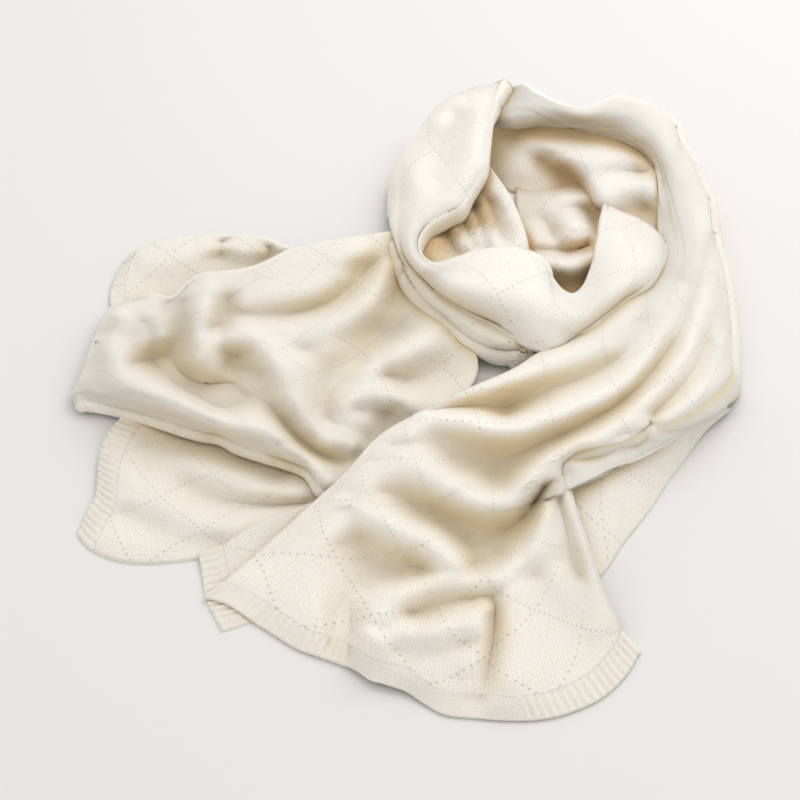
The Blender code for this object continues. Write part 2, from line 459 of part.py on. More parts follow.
def plan_grid(curves, u, v):
    """The stretch's grid over the floor: a Coons patch between its four edges, which holds each one's own spacing."""
    back, front = sample(curves["back"], u)[None], sample(curves["front"], u)[None]
    start, end = sample(curves["start"], v)[:, None], sample(curves["end"], v)[:, None]
    u3, v3 = u[None, :, None], v[:, None, None]
    bilinear = (
        (1 - u3) * (1 - v3) * curves["back"][0] + u3 * (1 - v3) * curves["back"][-1]
        + (1 - u3) * v3 * curves["front"][0] + u3 * v3 * curves["front"][-1]
    )
    return (1 - v3) * back + v3 * front + (1 - u3) * start + u3 * end - bilinear


def thin_plate(lines, spacing=12.0, slack=0.006):
    """The height of a thin plate bent over the given lines, as a function of x and y. Cloth, too, bends as little
    as it can between its folds."""
    knots = []
    for line in lines:
        line = np.asarray(line, float)
        length = np.linalg.norm(np.diff(line[:, :2], axis=0), axis=1).sum()
        knots.append(smooth(line, max(2, int(length / spacing) + 1)))
    knots = np.concatenate(knots)
    places, heights = knots[:, :2] / 100, knots[:, 2]

    def kernel(a, b):
        r2 = ((a[:, None] - b[None]) ** 2).sum(axis=2)
        return 0.5 * r2 * np.log(r2 + 1e-12)

    flat = np.column_stack([np.ones(len(places)), places])
    system = np.block([[kernel(places, places) + slack * np.eye(len(places)), flat], [flat.T, np.zeros((3, 3))]])
    weights = np.linalg.solve(system, np.concatenate([heights, np.zeros(3)]))

    def height(xy):
        wanted = xy.reshape(-1, 2) / 100
        bent = kernel(wanted, places) @ weights[:-3] + weights[-3] + wanted @ weights[-2:]
        return bent.reshape(xy.shape[:-1])

    return height


def underside(table, u, v):
    """The underside of a stretch at rows v and columns u, with the turn of its edges as further rows and columns:
    an array of points, in true places."""
    curves = edge_curves(table)
    plan = plan_grid(curves, u, v)
    lines = [curves[side][:, :3] for side in SIDES] + list(table["folds"])
    heights = np.maximum(thin_plate(lines)(plan[..., :2]), 0.0)
    grid = on_sight_line(np.concatenate([plan[..., :2], heights[..., None]], axis=2))
    return with_turned_edges(grid, plan[..., 3:], [TURN_STEPS * (table[side][0] != CUT_EDGE) for side in SIDES])


def with_turned_edges(grid, turns, steps):
    """Adds rows and columns that curl out and down from each side that turns, by its turn (out, down)."""
    rows, columns = grid.shape[:2]
    back, end, front, start = steps
    r, c = np.mgrid[-back : rows + front, -start : columns + end]
    gr, gc = np.clip(r, 0, rows - 1), np.clip(c, 0, columns - 1)
    ring_r, ring_c = np.abs(r - gr), np.abs(c - gc)
    along_v, along_u = np.gradient(grid, axis=0)[..., :2], np.gradient(grid, axis=1)[..., :2]
    flip = np.sign(np.median(along_u[..., 0] * along_v[..., 1] - along_u[..., 1] * along_v[..., 0]))

    def beside(along, sign):
        normal = np.stack([along[..., 1], -along[..., 0]], axis=-1) * sign * flip
        return normal / (np.linalg.norm(normal, axis=-1, keepdims=True) + 1e-9)

    towards = beside(along_u, 1)[gr, gc] * np.where(r < 0, 1, -1)[..., None] * ring_r[..., None]
    towards += beside(along_v, -1)[gr, gc] * np.where(c < 0, 1, -1)[..., None] * ring_c[..., None]
    towards /= np.linalg.norm(towards, axis=2)[..., None] + 1e-9
    angle = np.pi / 2 * 1.1 * np.maximum(ring_r, ring_c) / TURN_STEPS
    turned = grid[gr, gc].copy()
    turned[..., :2] += towards * (turns[gr, gc, 0] * np.sin(angle))[..., None]
    turned[..., 2] = np.maximum(turned[..., 2] - turns[gr, gc, 1] * (1 - np.cos(angle)), 0.0)
    return turned


# ---------------------------------------------------------------- walls
def normals_of(grid):
    normal = np.cross(np.gradient(grid, axis=1), np.gradient(grid, axis=0))
    normal /= np.linalg.norm(normal, axis=2)[..., None] + 1e-9
    return normal * (1 if np.median(normal[..., 2]) > 0 else -1)


def wall_mesh(grid, relief=0.0, swell=0.0):
    """A closed wall over an underside grid, as points and faces. relief raises its outer points, and swell moves
    both of its faces outwards."""
    rows, columns = grid.shape[:2]
    normal = normals_of(grid)
    if swell:
        grid = grid.copy()
        for edge, inner in ((grid[0], grid[1]), (grid[-1], grid[-2]), (grid[:, 0], grid[:, 1]), (grid[:, -1], grid[:, -2])):
            outward = edge - inner
            edge += swell * outward / (np.linalg.norm(outward, axis=1)[:, None] + 1e-9)
    lower = grid - normal * swell
    upper = grid + normal * (WALL + np.broadcast_to(relief, grid.shape[:2])[..., None] + swell)
    if swell == 0.0:
        upper[..., 2] = np.maximum(upper[..., 2], 0.05)
    points = np.concatenate([lower.reshape(-1, 3), upper.reshape(-1, 3)])
    index = np.arange(rows * columns).reshape(rows, columns)
    top = rows * columns
    a, b, c, d = (part.ravel() for part in (index[:-1, :-1], index[:-1, 1:], index[1:, 1:], index[1:, :-1]))
    loop = np.concatenate([index[0, :-1], index[:-1, -1], index[-1, :0:-1], index[:0:-1, 0]])
    after = np.roll(loop, -1)
    faces = [(a, b, c), (a, c, d), (c + top, b + top, a + top), (d + top, c + top, a + top)]
    faces += [(after, loop, loop + top), (after, loop + top, after + top)]
    return points, np.concatenate([np.stack(face, axis=-1) for face in faces])


def material_of(name):
    if name in bpy.data.materials:
        return bpy.data.materials[name]
    made = bpy.data.materials.new(name)
    made.use_nodes = True
    surface = made.node_tree.nodes["Principled BSDF"]
    surface.inputs["Base Color"].default_value = COLOURS[name]
    surface.inputs["Roughness"].default_value = 0.9
    surface.inputs["Metallic"].default_value = 0.0
    return made


def object_of(name, points, faces):
    mesh = bpy.data.meshes.new(name)
    mesh.from_pydata((points * METRES).tolist(), [], [tuple(map(int, face)) for face in faces])
    shape = bmesh.new()
    shape.from_mesh(mesh)
    bmesh.ops.triangulate(shape, faces=shape.faces)
    if shape.calc_volume(signed=True) < 0:
        bmesh.ops.reverse_faces(shape, faces=shape.faces)
    shape.to_mesh(mesh)
    shape.free()
    mesh.materials.append(material_of("rib" if name.endswith("ribs") else "knit"))
    made = bpy.data.objects.new(name, mesh)
    bpy.context.scene.collection.objects.link(made)
    return made


def tree_of(points, faces):
    return BVHTree.FromPolygons([Vector(p) for p in points], faces.tolist())


def top_of(trees, x, y):
    """The height of the highest surface over x, y."""
    hits = [tree.ray_cast(Vector((x, y, 900.0)), Vector((0.0, 0.0, -1.0)))[0] for tree in trees]
    return max((hit.z for hit in hits if hit), default=-1.0)


def clear_of(grid, trees, gap):
    """Lifts an underside off the walls that it lies on, and eases the lift into its neighbours."""
    need = np.zeros(grid.shape[:2])
    for r, row in enumerate(grid):
        for c, (x, y, z) in enumerate(row):
            need[r, c] = max(0.0, top_of(trees, x, y) + gap - z)
    eased = need.copy()
    for _ in range(3):
        wide = np.pad(eased, 1, mode="edge")
        mean = (wide[:-2, 1:-1] + wide[2:, 1:-1] + wide[1:-1, :-2] + wide[1:-1, 2:] + wide[1:-1, 1:-1]) / 5
        eased = np.maximum(need, mean)
    lifted = grid.copy()
    lifted[..., 2] += eased
    for _ in range(EASINGS):
        inner = (lifted[:-2, 1:-1] + lifted[2:, 1:-1] + lifted[1:-1, :-2] + lifted[1:-1, 2:]) / 4
        lifted[1:-1, 1:-1] += 0.5 * (inner - lifted[1:-1, 1:-1])
    return lifted


def parts_of(name, table):
    """The walls of a stretch, as (name, underside grid, relief): the cloth, and its ribbed band along the hem."""
    columns, rows = table["steps"]
    u, v = np.linspace(0, 1, columns + 1), np.linspace(0, 1, rows + 1)
    if "ribs" not in table:
        return [(name, underside(table, u, v), 0.0)]
    curves = edge_curves(table)
    lengths = {side: np.linalg.norm(np.diff(on_sight_line(curves[side][:, :3]), axis=0), axis=1).sum() for side in SIDES}
    hem = table["ribs"]
    run = (lengths["start"] + lengths["end"]) / 2 if hem == "front" else (lengths["back"] + lengths["front"]) / 2
    band, gap = RIB_BAND / run, 2 * SEAM_GAP / run
    if hem == "front":
        cloth = underside(table, u, np.linspace(0, 1 - band - gap, rows + 1))
        ribbed = underside(table, u, np.array([1 - band, 1.0])).swapaxes(0, 1)
    else:
        cloth = underside(table, np.linspace(band + gap, 1, columns + 1), v)
        ribbed = underside(table, np.array([0.0, band]), v)
    count = 2 * int(lengths[hem] / RIB_PITCH)
    places, coarse = np.linspace(0, len(ribbed) - 1, count + 1), np.arange(len(ribbed))
    ribbed = np.stack([[np.interp(places, coarse, ribbed[:, j, k]) for k in range(3)] for j in range(2)])
    ribbed = ribbed.transpose(2, 0, 1)
    relief = np.where(np.arange(count + 1) % 2, RIB_RISE, 0.0)[:, None]
    return [(name, cloth, 0.0), (name + "_ribs", ribbed, relief)]


def cut_and_clean(lower, cutter):
    """Takes the cutter out of the lower wall and keeps the largest body that is left."""
    cut = lower.modifiers.new("clearance", "BOOLEAN")
    cut.operation, cut.solver, cut.object = "DIFFERENCE", "MANIFOLD", cutter
    graph = bpy.context.evaluated_depsgraph_get()
    mesh = bpy.data.meshes.new_from_object(lower.evaluated_get(graph))
    lower.modifiers.clear()
    shape = bmesh.new()
    shape.from_mesh(mesh)
    left = set(shape.faces)
    bodies = []
    while left:
        body, search = set(), [left.pop()]
        while search:
            face = search.pop()
            body.add(face)
            beside = [other for edge in face.edges if len(edge.link_faces) == 2 for other in edge.link_faces]
            search += [other for other in beside if other in left]
            left -= set(beside)
        bodies.append(body)
    bodies.sort(key=lambda body: -sum(face.calc_area() for face in body))
    for body in bodies[1:]:
        bmesh.ops.delete(shape, geom=list(body), context="FACES")
    shape.to_mesh(mesh)
    shape.free()
    lower.data = mesh


def heap_core(trees):
    """The hidden layers of the swirl, as one rounded solid with a flat underside, which carries the layers that
    show. Its top stays under the lowest wall over it."""
    bearings = np.linspace(0, 2 * np.pi, CORE_SIDES, endpoint=False)
    shares = np.linspace(0, 1, CORE_RINGS + 1)[1:]
    points = [(*CORE_CENTRE, 0.0)]
    top = [(*CORE_CENTRE, CORE_RISE)]
    for share in shares:
        for bearing in bearings:
            x = CORE_CENTRE[0] + CORE_RADII[0] * share * np.cos(bearing)
            y = CORE_CENTRE[1] + CORE_RADII[1] * share * np.sin(bearing)
            points.append((x, y, 0.0))
            top.append((x, y, CORE_EDGE + (CORE_RISE - CORE_EDGE) * np.sqrt(max(0.0, 1 - share**2))))
    for i, (x, y, z) in enumerate(top):
        hits = [tree.ray_cast(Vector((x, y, -1.0)), Vector((0.0, 0.0, 1.0)))[0] for tree in trees]
        ceiling = min((hit.z for hit in hits if hit), default=z)
        top[i] = (x, y, max(1.0, min(z, ceiling - CORE_CLEAR)))
    lowest = [z for x, y, z in top]
    for i, (x, y, z) in enumerate(top):
        near = [lowest[k] for k, (a, b, c) in enumerate(top) if np.hypot(a - x, b - y) < CORE_EASE]
        top[i] = (x, y, min(near))
    count = len(points)
    faces = []
    for k in range(CORE_SIDES):
        n = (k + 1) % CORE_SIDES
        faces.append((count, count + 1 + k, count + 1 + n))
        faces.append((0, 1 + n, 1 + k))
        for ring in range(CORE_RINGS - 1):
            a, b = 1 + ring * CORE_SIDES, 1 + (ring + 1) * CORE_SIDES
            faces.append((count + a + k, count + b + k, count + b + n, count + a + n))
            faces.append((a + n, b + n, b + k, a + k))
        b = 1 + (CORE_RINGS - 1) * CORE_SIDES
        faces.append((b + k, b + n, count + b + n, count + b + k))
    return np.array(points + top), faces


def touching(first, second):
    trees = []
    for piece in (first, second):
        mesh = piece.data
        trees.append(BVHTree.FromPolygons([v.co for v in mesh.vertices], [tuple(p.vertices) for p in mesh.polygons]))
    return bool(trees[0].overlap(trees[1]))


def main():
    for old in list(bpy.data.objects):
        bpy.data.objects.remove(old, do_unlink=True)
    made, walls, trees = {}, {}, {}
    for name, table in STRETCHES.items():
        for part, grid, relief in parts_of(name, table):
            below = [tree for other, tree in trees.items() if not part.startswith(other)]
            grid = clear_of(grid, below, LAY_GAP)
            points, faces = wall_mesh(grid, relief)
            made[part] = object_of(part, points, faces)
            walls[part] = grid, relief
            trees[part] = tree_of(points, faces)
    core = object_of("heap_core", *heap_core(trees.values()))
    order = [core, *made.values()]
    for swell in CUTTER_SWELLS:
        for i, lower in enumerate(order):
            for upper in order[i + 1 :]:
                if swell != CUTTER_SWELLS[0] and not touching(lower, upper):
                    continue
                cutter = object_of("cutter", *wall_mesh(*walls[upper.name], swell=swell))
                if touching(lower, cutter):
                    cut_and_clean(lower, cutter)
                bpy.data.objects.remove(cutter, do_unlink=True)


main()
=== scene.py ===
# %% [markdown]
# # A cream knit shawl, wound into a swirl
#
# The real thing is one long strip of fine, soft knit: a plain knitted ground with lines of small eyelets,
# rolled selvedges along both sides and a ribbed band at each end. Here it lies on a table. Its middle is
# wound into a swirl, and its two tails run out to the left and to the front.
#
# Cloth in a heap can be made by simulation, by sculpting, or by bending surfaces over fold lines that are
# written down. We take the last way, because each fold of this shawl has its place, and a written fold can
# be moved by one number. We start by loading the solid model of the shawl, which says how big everything
# is.

# %% Load the frame
import math

import bpy
import numpy as np
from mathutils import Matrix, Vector
from mathutils.bvhtree import BVHTree


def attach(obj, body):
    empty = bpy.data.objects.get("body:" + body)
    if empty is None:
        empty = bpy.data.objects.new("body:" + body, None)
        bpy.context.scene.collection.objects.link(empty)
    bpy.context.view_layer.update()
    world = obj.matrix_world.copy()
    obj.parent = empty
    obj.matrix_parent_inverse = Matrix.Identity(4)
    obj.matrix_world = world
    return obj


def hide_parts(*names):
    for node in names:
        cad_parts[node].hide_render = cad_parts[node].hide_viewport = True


MM = 1000.0  # in a metre: the frame is in metres, and the cloth below is worked out in millimetres
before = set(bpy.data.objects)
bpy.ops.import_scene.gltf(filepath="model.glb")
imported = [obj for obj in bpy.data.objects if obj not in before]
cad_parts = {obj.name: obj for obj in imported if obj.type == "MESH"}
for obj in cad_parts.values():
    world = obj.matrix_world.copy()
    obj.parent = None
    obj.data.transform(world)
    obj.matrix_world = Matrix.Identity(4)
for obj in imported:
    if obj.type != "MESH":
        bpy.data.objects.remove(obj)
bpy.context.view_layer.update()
print("solid model:", sorted(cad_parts))

# %% [markdown]
# ## The camera
#
# The shawl is seen from the front and well above, with a long lens, so the shapes hardly taper. Everything
# that is placed in this file is placed along a line of sight from this camera.

# %% Camera
EYE = np.array((-0.179, -1.742, 1.625))  # metres
LOOK_AT = Vector((-0.1786, -0.2267, 0.0))
FOCAL_LENGTH = 100  # millimetres
SENSOR_WIDTH = 36


def aim(thing, target):
    """Turns a camera or a lamp so that it faces a point."""
    thing.rotation_euler = (target - thing.location).to_track_quat("-Z", "Y").to_euler()


lens = bpy.data.cameras.new("camera")
lens.lens = FOCAL_LENGTH
lens.sensor_width = SENSOR_WIDTH
camera = bpy.data.objects.new("camera", lens)
bpy.context.scene.collection.objects.link(camera)
camera.location = Vector(EYE)
aim(camera, LOOK_AT)
bpy.context.scene.camera = camera
tilt = math.asin(EYE[2] / np.linalg.norm(EYE - np.array(LOOK_AT)))
print("camera looks down by", round(math.degrees(tilt)), "degrees")

# %% [markdown]
# ## The room
#
# Soft light is what makes wool look soft. Most of it comes evenly from a white surrounding, so no fold goes
# black. One large lamp behind the shawl on the right adds a little, so that each fold has a bright back and
# a dimmer front. The colours are shown as they are, with no film curve, because a pale subject on a pale
# table would turn grey under one.

# %% Light
LAMP_PLACE = Vector((0.6, 0.75, 1.6))
LAMP_SIZE = 1.6
LAMP_WATTS = 14
SURROUNDING_STRENGTH = 0.92
SURROUNDING_COLOUR = (1.0, 0.99, 0.97, 1.0)
lamp_data = bpy.data.lights.new("lamp", "AREA")
lamp_data.energy = LAMP_WATTS
lamp_data.size = LAMP_SIZE
lamp = bpy.data.objects.new("lamp", lamp_data)
bpy.context.scene.collection.objects.link(lamp)
lamp.location = LAMP_PLACE
aim(lamp, Vector())
world = bpy.data.worlds.new("surrounding")
bpy.context.scene.world = world
world.use_nodes = True
background = world.node_tree.nodes["Background"]
background.inputs["Color"].default_value = SURROUNDING_COLOUR
background.inputs["Strength"].default_value = SURROUNDING_STRENGTH
bpy.context.scene.view_settings.view_transform = "Standard"
print("lamp of", LAMP_WATTS, "W,", LAMP_SIZE, "m wide")

# %% [markdown]
# ## Writing materials as sums
#
# A procedural material is a small calculation: how far is this point from an eyelet, and how deep is the
# groove between two columns of stitches? Blender does such sums with nodes. The class below lets us write
# them as plain expressions: every sum adds its own Math node.

# %% Shader sums
class Wire:
    """The output of a node, which can be added, multiplied and so on."""

    def __init__(self, tree, socket):
        self.tree, self.socket = tree, socket

    def node(self, kind, settings, values):
        """Adds one node to the tree: its settings first, then the values or links of its sockets."""
        made = self.tree.nodes.new(kind)
        for key, value in settings.items():
            setattr(made, key, value)
        for key, value in values.items():
            if isinstance(value, Wire):
                self.tree.links.new(value.socket, made.inputs[key])
            else:
                made.inputs[key].default_value = value
        return made

    def math(self, operation, *others, first=None):
        values = dict(enumerate((self if first is None else first, *others)))
        return Wire(self.tree, self.node("ShaderNodeMath", {"operation": operation}, values).outputs[0])

    def __add__(self, other):
        return self.math("ADD", other)

    __radd__ = __add__

    def __sub__(self, other):
        return self.math("SUBTRACT", other)

    def __rsub__(self, other):
        return self.math("SUBTRACT", self, first=other)

    def __mul__(self, other):
        return self.math("MULTIPLY", other)

    __rmul__ = __mul__

    def __truediv__(self, other):
        return self.math("DIVIDE", other)

    def __rtruediv__(self, other):
        return self.math("DIVIDE", self, first=other)

    def __abs__(self):
        return self.math("ABSOLUTE")

    def fraction(self):
        return self.math("FRACT")

    def sine(self):
        return self.math("SINE")

    def smaller(self, other):
        return self.math("MINIMUM", other)

    def root(self):
        return self.math("SQRT")

    def to_nearest(self):
        """How far a number is from the nearest whole number: 0 at it, 0.5 half way."""
        return abs((self + 0.5).fraction() - 0.5)

    def ease(self, low, high):
        """0 at low, 1 at high, and a smooth step between."""
        settings = {"interpolation_type": "SMOOTHSTEP"}
        made = self.node("ShaderNodeMapRange", settings, {0: self, 1: low, 2: high})
        return Wire(self.tree, made.outputs[0])

    def cloud(self, other, size):
        """Soft noise between 0 and 1 on the plane that two numbers span."""
        place = Wire(self.tree, self.node("ShaderNodeCombineXYZ", {}, {0: self, 1: other}).outputs[0])
        values = {"Vector": place, "Scale": 1.0 / size, "Detail": 2.0, "Roughness": 0.6}
        return Wire(self.tree, self.node("ShaderNodeTexNoise", {"noise_dimensions": "2D"}, values).outputs[0])

    def mix(self, low, high):
        """The colour low where this is 0, and high where it is 1."""
        made = self.node("ShaderNodeMix", {"data_type": "RGBA"}, {0: self, 6: low, 7: high})
        return Wire(self.tree, made.outputs[2])


def new_material(name, finish):
    """A material and its surface node, which gets the values that finish gives."""
    made = bpy.data.materials.new(name)
    made.use_nodes = True
    surface = made.node_tree.nodes["Principled BSDF"]
    for key, value in finish.items():
        surface.inputs[key].default_value = value
    return made, surface


print("shader sums are ready")

# %% [markdown]
# ## The table top
#
# A plain pale surface. It is staging, and not part of the shawl.

# %% Table top
TABLE_SIZE = 12  # metres
TABLE_FINISH = {"Base Color": (0.75, 0.74, 0.735, 1.0), "Roughness": 0.8}
bpy.ops.mesh.primitive_plane_add(size=TABLE_SIZE)
table_top = bpy.context.object
table_top.name = "table_top"
table_top.data.materials.append(new_material("table_paint", TABLE_FINISH)[0])
print("table top of", TABLE_SIZE, "m laid")

# %% [markdown]
# ## The pattern of the knit
#
# Plain knitting, seen close up, is columns of small V shapes about two millimetres wide. The pattern is
# drawn in the cloth's own flat measure, which each piece carries as a UV map: u runs across the shawl and v
# along it, both in decimetres. So the stitches bend with the cloth. The eyelets stand in lines that cross
# in long diamonds. They are too small to cut through the mesh, so they are sunken dots with painted shade,
# where a hole would show shaded cloth below.

# %% Knit pattern
UV_UNIT = 100.0  # millimetres of cloth for each unit of the UV map
WALE = 2.1  # millimetres from one column of stitches to the next
COURSE = 1.6  # and from one row to the next
STITCH_SLANT = 0.7  # the rows that a stitch's leg climbs across half a column
STITCH_SWING = 0.6  # the share of the yarn's height that goes up and down along a leg
DIAMOND = (34.0, 46.0)  # half the width and half the length of an eyelet diamond, in millimetres
EYELET_STEP = 3.0
EYELET_RADIUS = 0.9
EYELET_FLOOR = 0.4  # the share of the radius inside which an eyelet is fully dark


def cloth_measures(material):
    """u and v of the flat cloth, in millimetres."""
    tree = material.node_tree
    start = Wire(tree, None)
    place = Wire(tree, start.node("ShaderNodeUVMap", {"uv_map": "flat"}, {}).outputs[0])
    parts = start.node("ShaderNodeSeparateXYZ", {}, {0: place})
    return Wire(tree, parts.outputs[0]) * UV_UNIT, Wire(tree, parts.outputs[1]) * UV_UNIT


def eyelets(across, along):
    """1 in the middle of an eyelet, 0 outside it."""
    half_wide, half_long = DIAMOND
    side = math.hypot(half_wide, half_long)
    spread = half_wide * half_long / side
    rising, falling = across / half_wide + along / half_long, across / half_wide - along / half_long
    count = round(side / 2 / EYELET_STEP)
    found = None
    for line, run in ((rising, falling), (falling, rising)):
        off = (line * 0.5).to_nearest() * (2 * spread)
        beside = (run * (0.5 * count)).to_nearest() * (side / count)
        distance = (off * off + beside * beside).root()
        found = distance if found is None else found.smaller(distance)
    return 1.0 - found.ease(EYELET_RADIUS * EYELET_FLOOR, EYELET_RADIUS)


def stitches(across, along):
    """The height of the yarn in plain knitting, from 0 in a groove to 1."""
    from_middle = (across / WALE).to_nearest() * 2.0
    leg = ((along / COURSE + from_middle * STITCH_SLANT) * (2 * math.pi)).sine() * 0.5 + 0.5
    column = 1.0 - from_middle * from_middle * from_middle
    return column * (leg * STITCH_SWING + (1 - STITCH_SWING))


print("stitches of", WALE, "by", COURSE, "mm, and an eyelet about every", EYELET_STEP, "mm")

# %% [markdown]
# ## The yarn
#
# The yarn is undyed wool: cream, quite matt and a little uneven, with a fine fuzz that Blender's sheen
# gives, and a little light passes through it.
#
# Painted light and shade change its colour from place to place. Cloth low on the table is thin and looks
# darker than cloth high in the heap, which has many light layers under it, so the colour is painted lighter
# higher up. Grooves and eyelets get painted shade, and in the folds a warm tan shade is painted. How
# sheltered each point is gets measured further down, and is stored on the mesh under the name "shelter".

# %% Knit material
YARN_LIGHT = (0.98, 0.945, 0.885, 1.0)  # the yarn's colour at the light end: on a stitch top high in the heap, where light is painted, and in its own paler spots
YARN_DEEP = (0.79, 0.71, 0.60, 1.0)  # and at the dark end: painted shade in a groove, an eyelet and low on the table, and the yarn's own darker spots
# painted shade: the warm tan painted into the folds, and a deeper one in the swirl's hollow
FOLD_SHADE_PAINT = (0.80, 0.675, 0.47, 1.0)
HOLLOW_SHADE_PAINT = (0.66, 0.48, 0.27, 1.0)
FOLD_SHADE_SPAN = (0.02, 0.8)  # the share of the sky that cloth hides, where the painted fold shade starts and is full
HOLLOW_SHADE_SPAN = (0.12, 0.6)  # the same for the painted shade in the swirl's hollow, where light has passed through more layers
THICK_HEAP = 0.08  # metres: from this height on, the heap below lets no light through, and the painted light is full
FUZZ_SIZE = 1.7  # of the small unevenness of the yarn, in millimetres
YARN_RISE, FUZZ_RISE, EYELET_DEPTH = 0.6, 1.2, 2.6  # in bump distances
GROOVE_SHADE, FUZZ_TONE, HEAP_LIGHT = 0.4, 0.9, 0.45  # how much each makes the yarn lighter: painted light on stitch tops and high in the heap, and the fuzz
EYELET_SHADE, TONE_LOSS = 0.7, 0.15  # and what makes it darker: painted shade in an eyelet, and a loss everywhere
BUMP = {"Distance": 0.0009, "Strength": 0.8}
KNIT_FINISH = {
    "Roughness": 0.85,
    "Sheen Weight": 0.35,
    "Sheen Roughness": 0.4,
    "Sheen Tint": (1.0, 0.97, 0.9, 1.0),
    "Subsurface Weight": 0.12,  # the share of light that passes into the yarn
    "Subsurface Radius": (1.0, 0.75, 0.5),
    "Subsurface Scale": 0.006,
    "Specular IOR Level": 0.2,
}


def knit_material(name, span, sheltered, with_eyelets):
    """Knit with painted shade, which turns to the colour sheltered over a span of shelter."""
    material, surface = new_material(name, KNIT_FINISH)
    tree = material.node_tree
    across, along = cloth_measures(material)
    yarn = stitches(across, along)
    fuzz = across.cloud(along, FUZZ_SIZE)
    height = yarn * YARN_RISE + fuzz * FUZZ_RISE
    place = Wire(tree, yarn.node("ShaderNodeNewGeometry", {}, {}).outputs["Position"])
    up = Wire(tree, yarn.node("ShaderNodeSeparateXYZ", {}, {0: place}).outputs["Z"])
    heap = (up / THICK_HEAP).smaller(1.0)
    # painted light and shade: stitch tops and cloth high in the heap are lighter, grooves darker
    tone = yarn * GROOVE_SHADE + fuzz * FUZZ_TONE + heap * HEAP_LIGHT - TONE_LOSS
    if with_eyelets:
        # painted shade in the eyelets, where a hole would show shaded cloth below
        hole = eyelets(across, along)
        height = height - hole * EYELET_DEPTH
        tone = tone - hole * EYELET_SHADE
    shelter = Wire(tree, yarn.node("ShaderNodeAttribute", {"attribute_name": "shelter"}, {}).outputs["Fac"])
    # painted shade: sheltered places are tinted towards the shade colour
    colour = shelter.ease(*span).mix(tone.mix(YARN_DEEP, YARN_LIGHT), sheltered)
    bump = height.node("ShaderNodeBump", {}, {"Height": height, **BUMP})
    tree.links.new(bump.outputs[0], surface.inputs["Normal"])
    tree.links.new(colour.socket, surface.inputs["Base Color"])
    return material


KNIT = knit_material("cream_knit", FOLD_SHADE_SPAN, FOLD_SHADE_PAINT, True)
# a copy of the knit with a deeper painted shade, for the swirl's hollow
KNIT_WITH_HOLLOW_SHADE = knit_material("cream_knit_painted_hollow_shade", HOLLOW_SHADE_SPAN, HOLLOW_SHADE_PAINT, True)
RIB = knit_material("cream_rib", FOLD_SHADE_SPAN, FOLD_SHADE_PAINT, False)
print("materials:", KNIT.name, KNIT_WITH_HOLLOW_SHADE.name, RIB.name)

# %% [markdown]
# ## Cloth from a table of folds
#
# Each stretch of cloth that shows is one table. A row is an edge or a fold line, and its points say where
# the line shows on the floor grid, seen from the camera, and how high the cloth is there, in millimetres.
# An edge starts with its curl: how far the cloth rolls out and how far down. A point may have a curl of its
# own.
#
# The next cells make a surface of such a table in three steps: a smooth curve along each edge, an even grid
# between the four edges, and the height of a thin plate that is bent over all the lines.

# %% Curves
SIDES = ("back", "end", "front", "start")
CUT_EDGE = (0.0, 0.0)  # a selvedge or a hem that doesn't curl down
EYE_MM = EYE * MM
TINY = 1e-9  # added to a length that is divided by, in case it is 0
FINE_POINTS = 40  # for each given point of a curve, before they are spaced evenly


def path_length(points):
    return np.linalg.norm(np.diff(points, axis=0), axis=1).sum()


def smooth(points, count):
    """Evenly spaced points on a smooth curve through the given ones."""
    points = np.asarray(points, float)
    steps = np.sqrt(np.linalg.norm(np.diff(points, axis=0), axis=1)) + TINY
    knots = np.concatenate([[0.0], np.cumsum(steps)])
    if len(points) > 2:
        slopes = np.gradient(points, knots, axis=0)
    else:
        slopes = np.repeat(np.diff(points, axis=0) / steps[:, None], 2, axis=0)
    fine = np.linspace(0.0, knots[-1], FINE_POINTS * len(points))
    i = np.clip(np.searchsorted(knots, fine, side="right") - 1, 0, len(knots) - 2)
    span = (knots[i + 1] - knots[i])[:, None]
    t = (fine - knots[i])[:, None] / span
    curve = (
        points[i] * (2 * t**3 - 3 * t**2 + 1)
        + slopes[i] * span * (t**3 - 2 * t**2 + t)
        + points[i + 1] * (3 * t**2 - 2 * t**3)
        + slopes[i + 1] * span * (t**3 - t**2)
    )
    along = np.concatenate([[0.0], np.cumsum(np.linalg.norm(np.diff(curve, axis=0), axis=1))])
    return np.stack([np.interp(np.linspace(0, along[-1], count), along, c) for c in curve.T], axis=1)


def on_sight_line(points):
    """The true places of points (x, y, height) that show at x, y on the floor grid, seen from the camera."""
    floor = points * (1, 1, 0)
    return floor + (EYE_MM - floor) * (points[..., 2:3] / EYE_MM[2])


print("curves are ready")

# %% [markdown]
# ## Edges and the grid between them
#
# A curled edge takes room, so the cloth inside it ends a little earlier, and the curl then shows where the
# table says. The four edges have to meet at the corners before a grid can be spread between them.

# %% Grid between edges
EDGE_POINTS = 480  # of each edge curve
SAME_CORNER = 1.0  # millimetres: edges that end closer than this end at the same corner
CORNER_REACH = 0.125  # the share of an edge that moves along when its end is moved to the corner
CORNERS = (  # two edges, and the end of each that lies at the corner
    ("back", 0, "start", 0), ("back", -1, "end", 0), ("front", 0, "start", -1), ("front", -1, "end", -1),
)


def moved_in(curve, outer_side):
    """An edge, moved in by its curl. outer_side is 1 where the cloth is left of the curve, or else -1."""
    along = np.gradient(curve[:, :2], axis=0)
    along /= np.linalg.norm(along, axis=1)[:, None] + TINY
    outward = np.column_stack([along[:, 1], -along[:, 0]]) * outer_side
    out, fall = curve[:, 3], curve[:, 4] * outward[:, 1]
    moved = curve.copy()
    moved[:, :2] -= outward * np.where(fall > 0, np.hypot(out, fall) - fall, out)[:, None]
    moved[:, 1] += np.maximum(-fall, 0)
    return moved


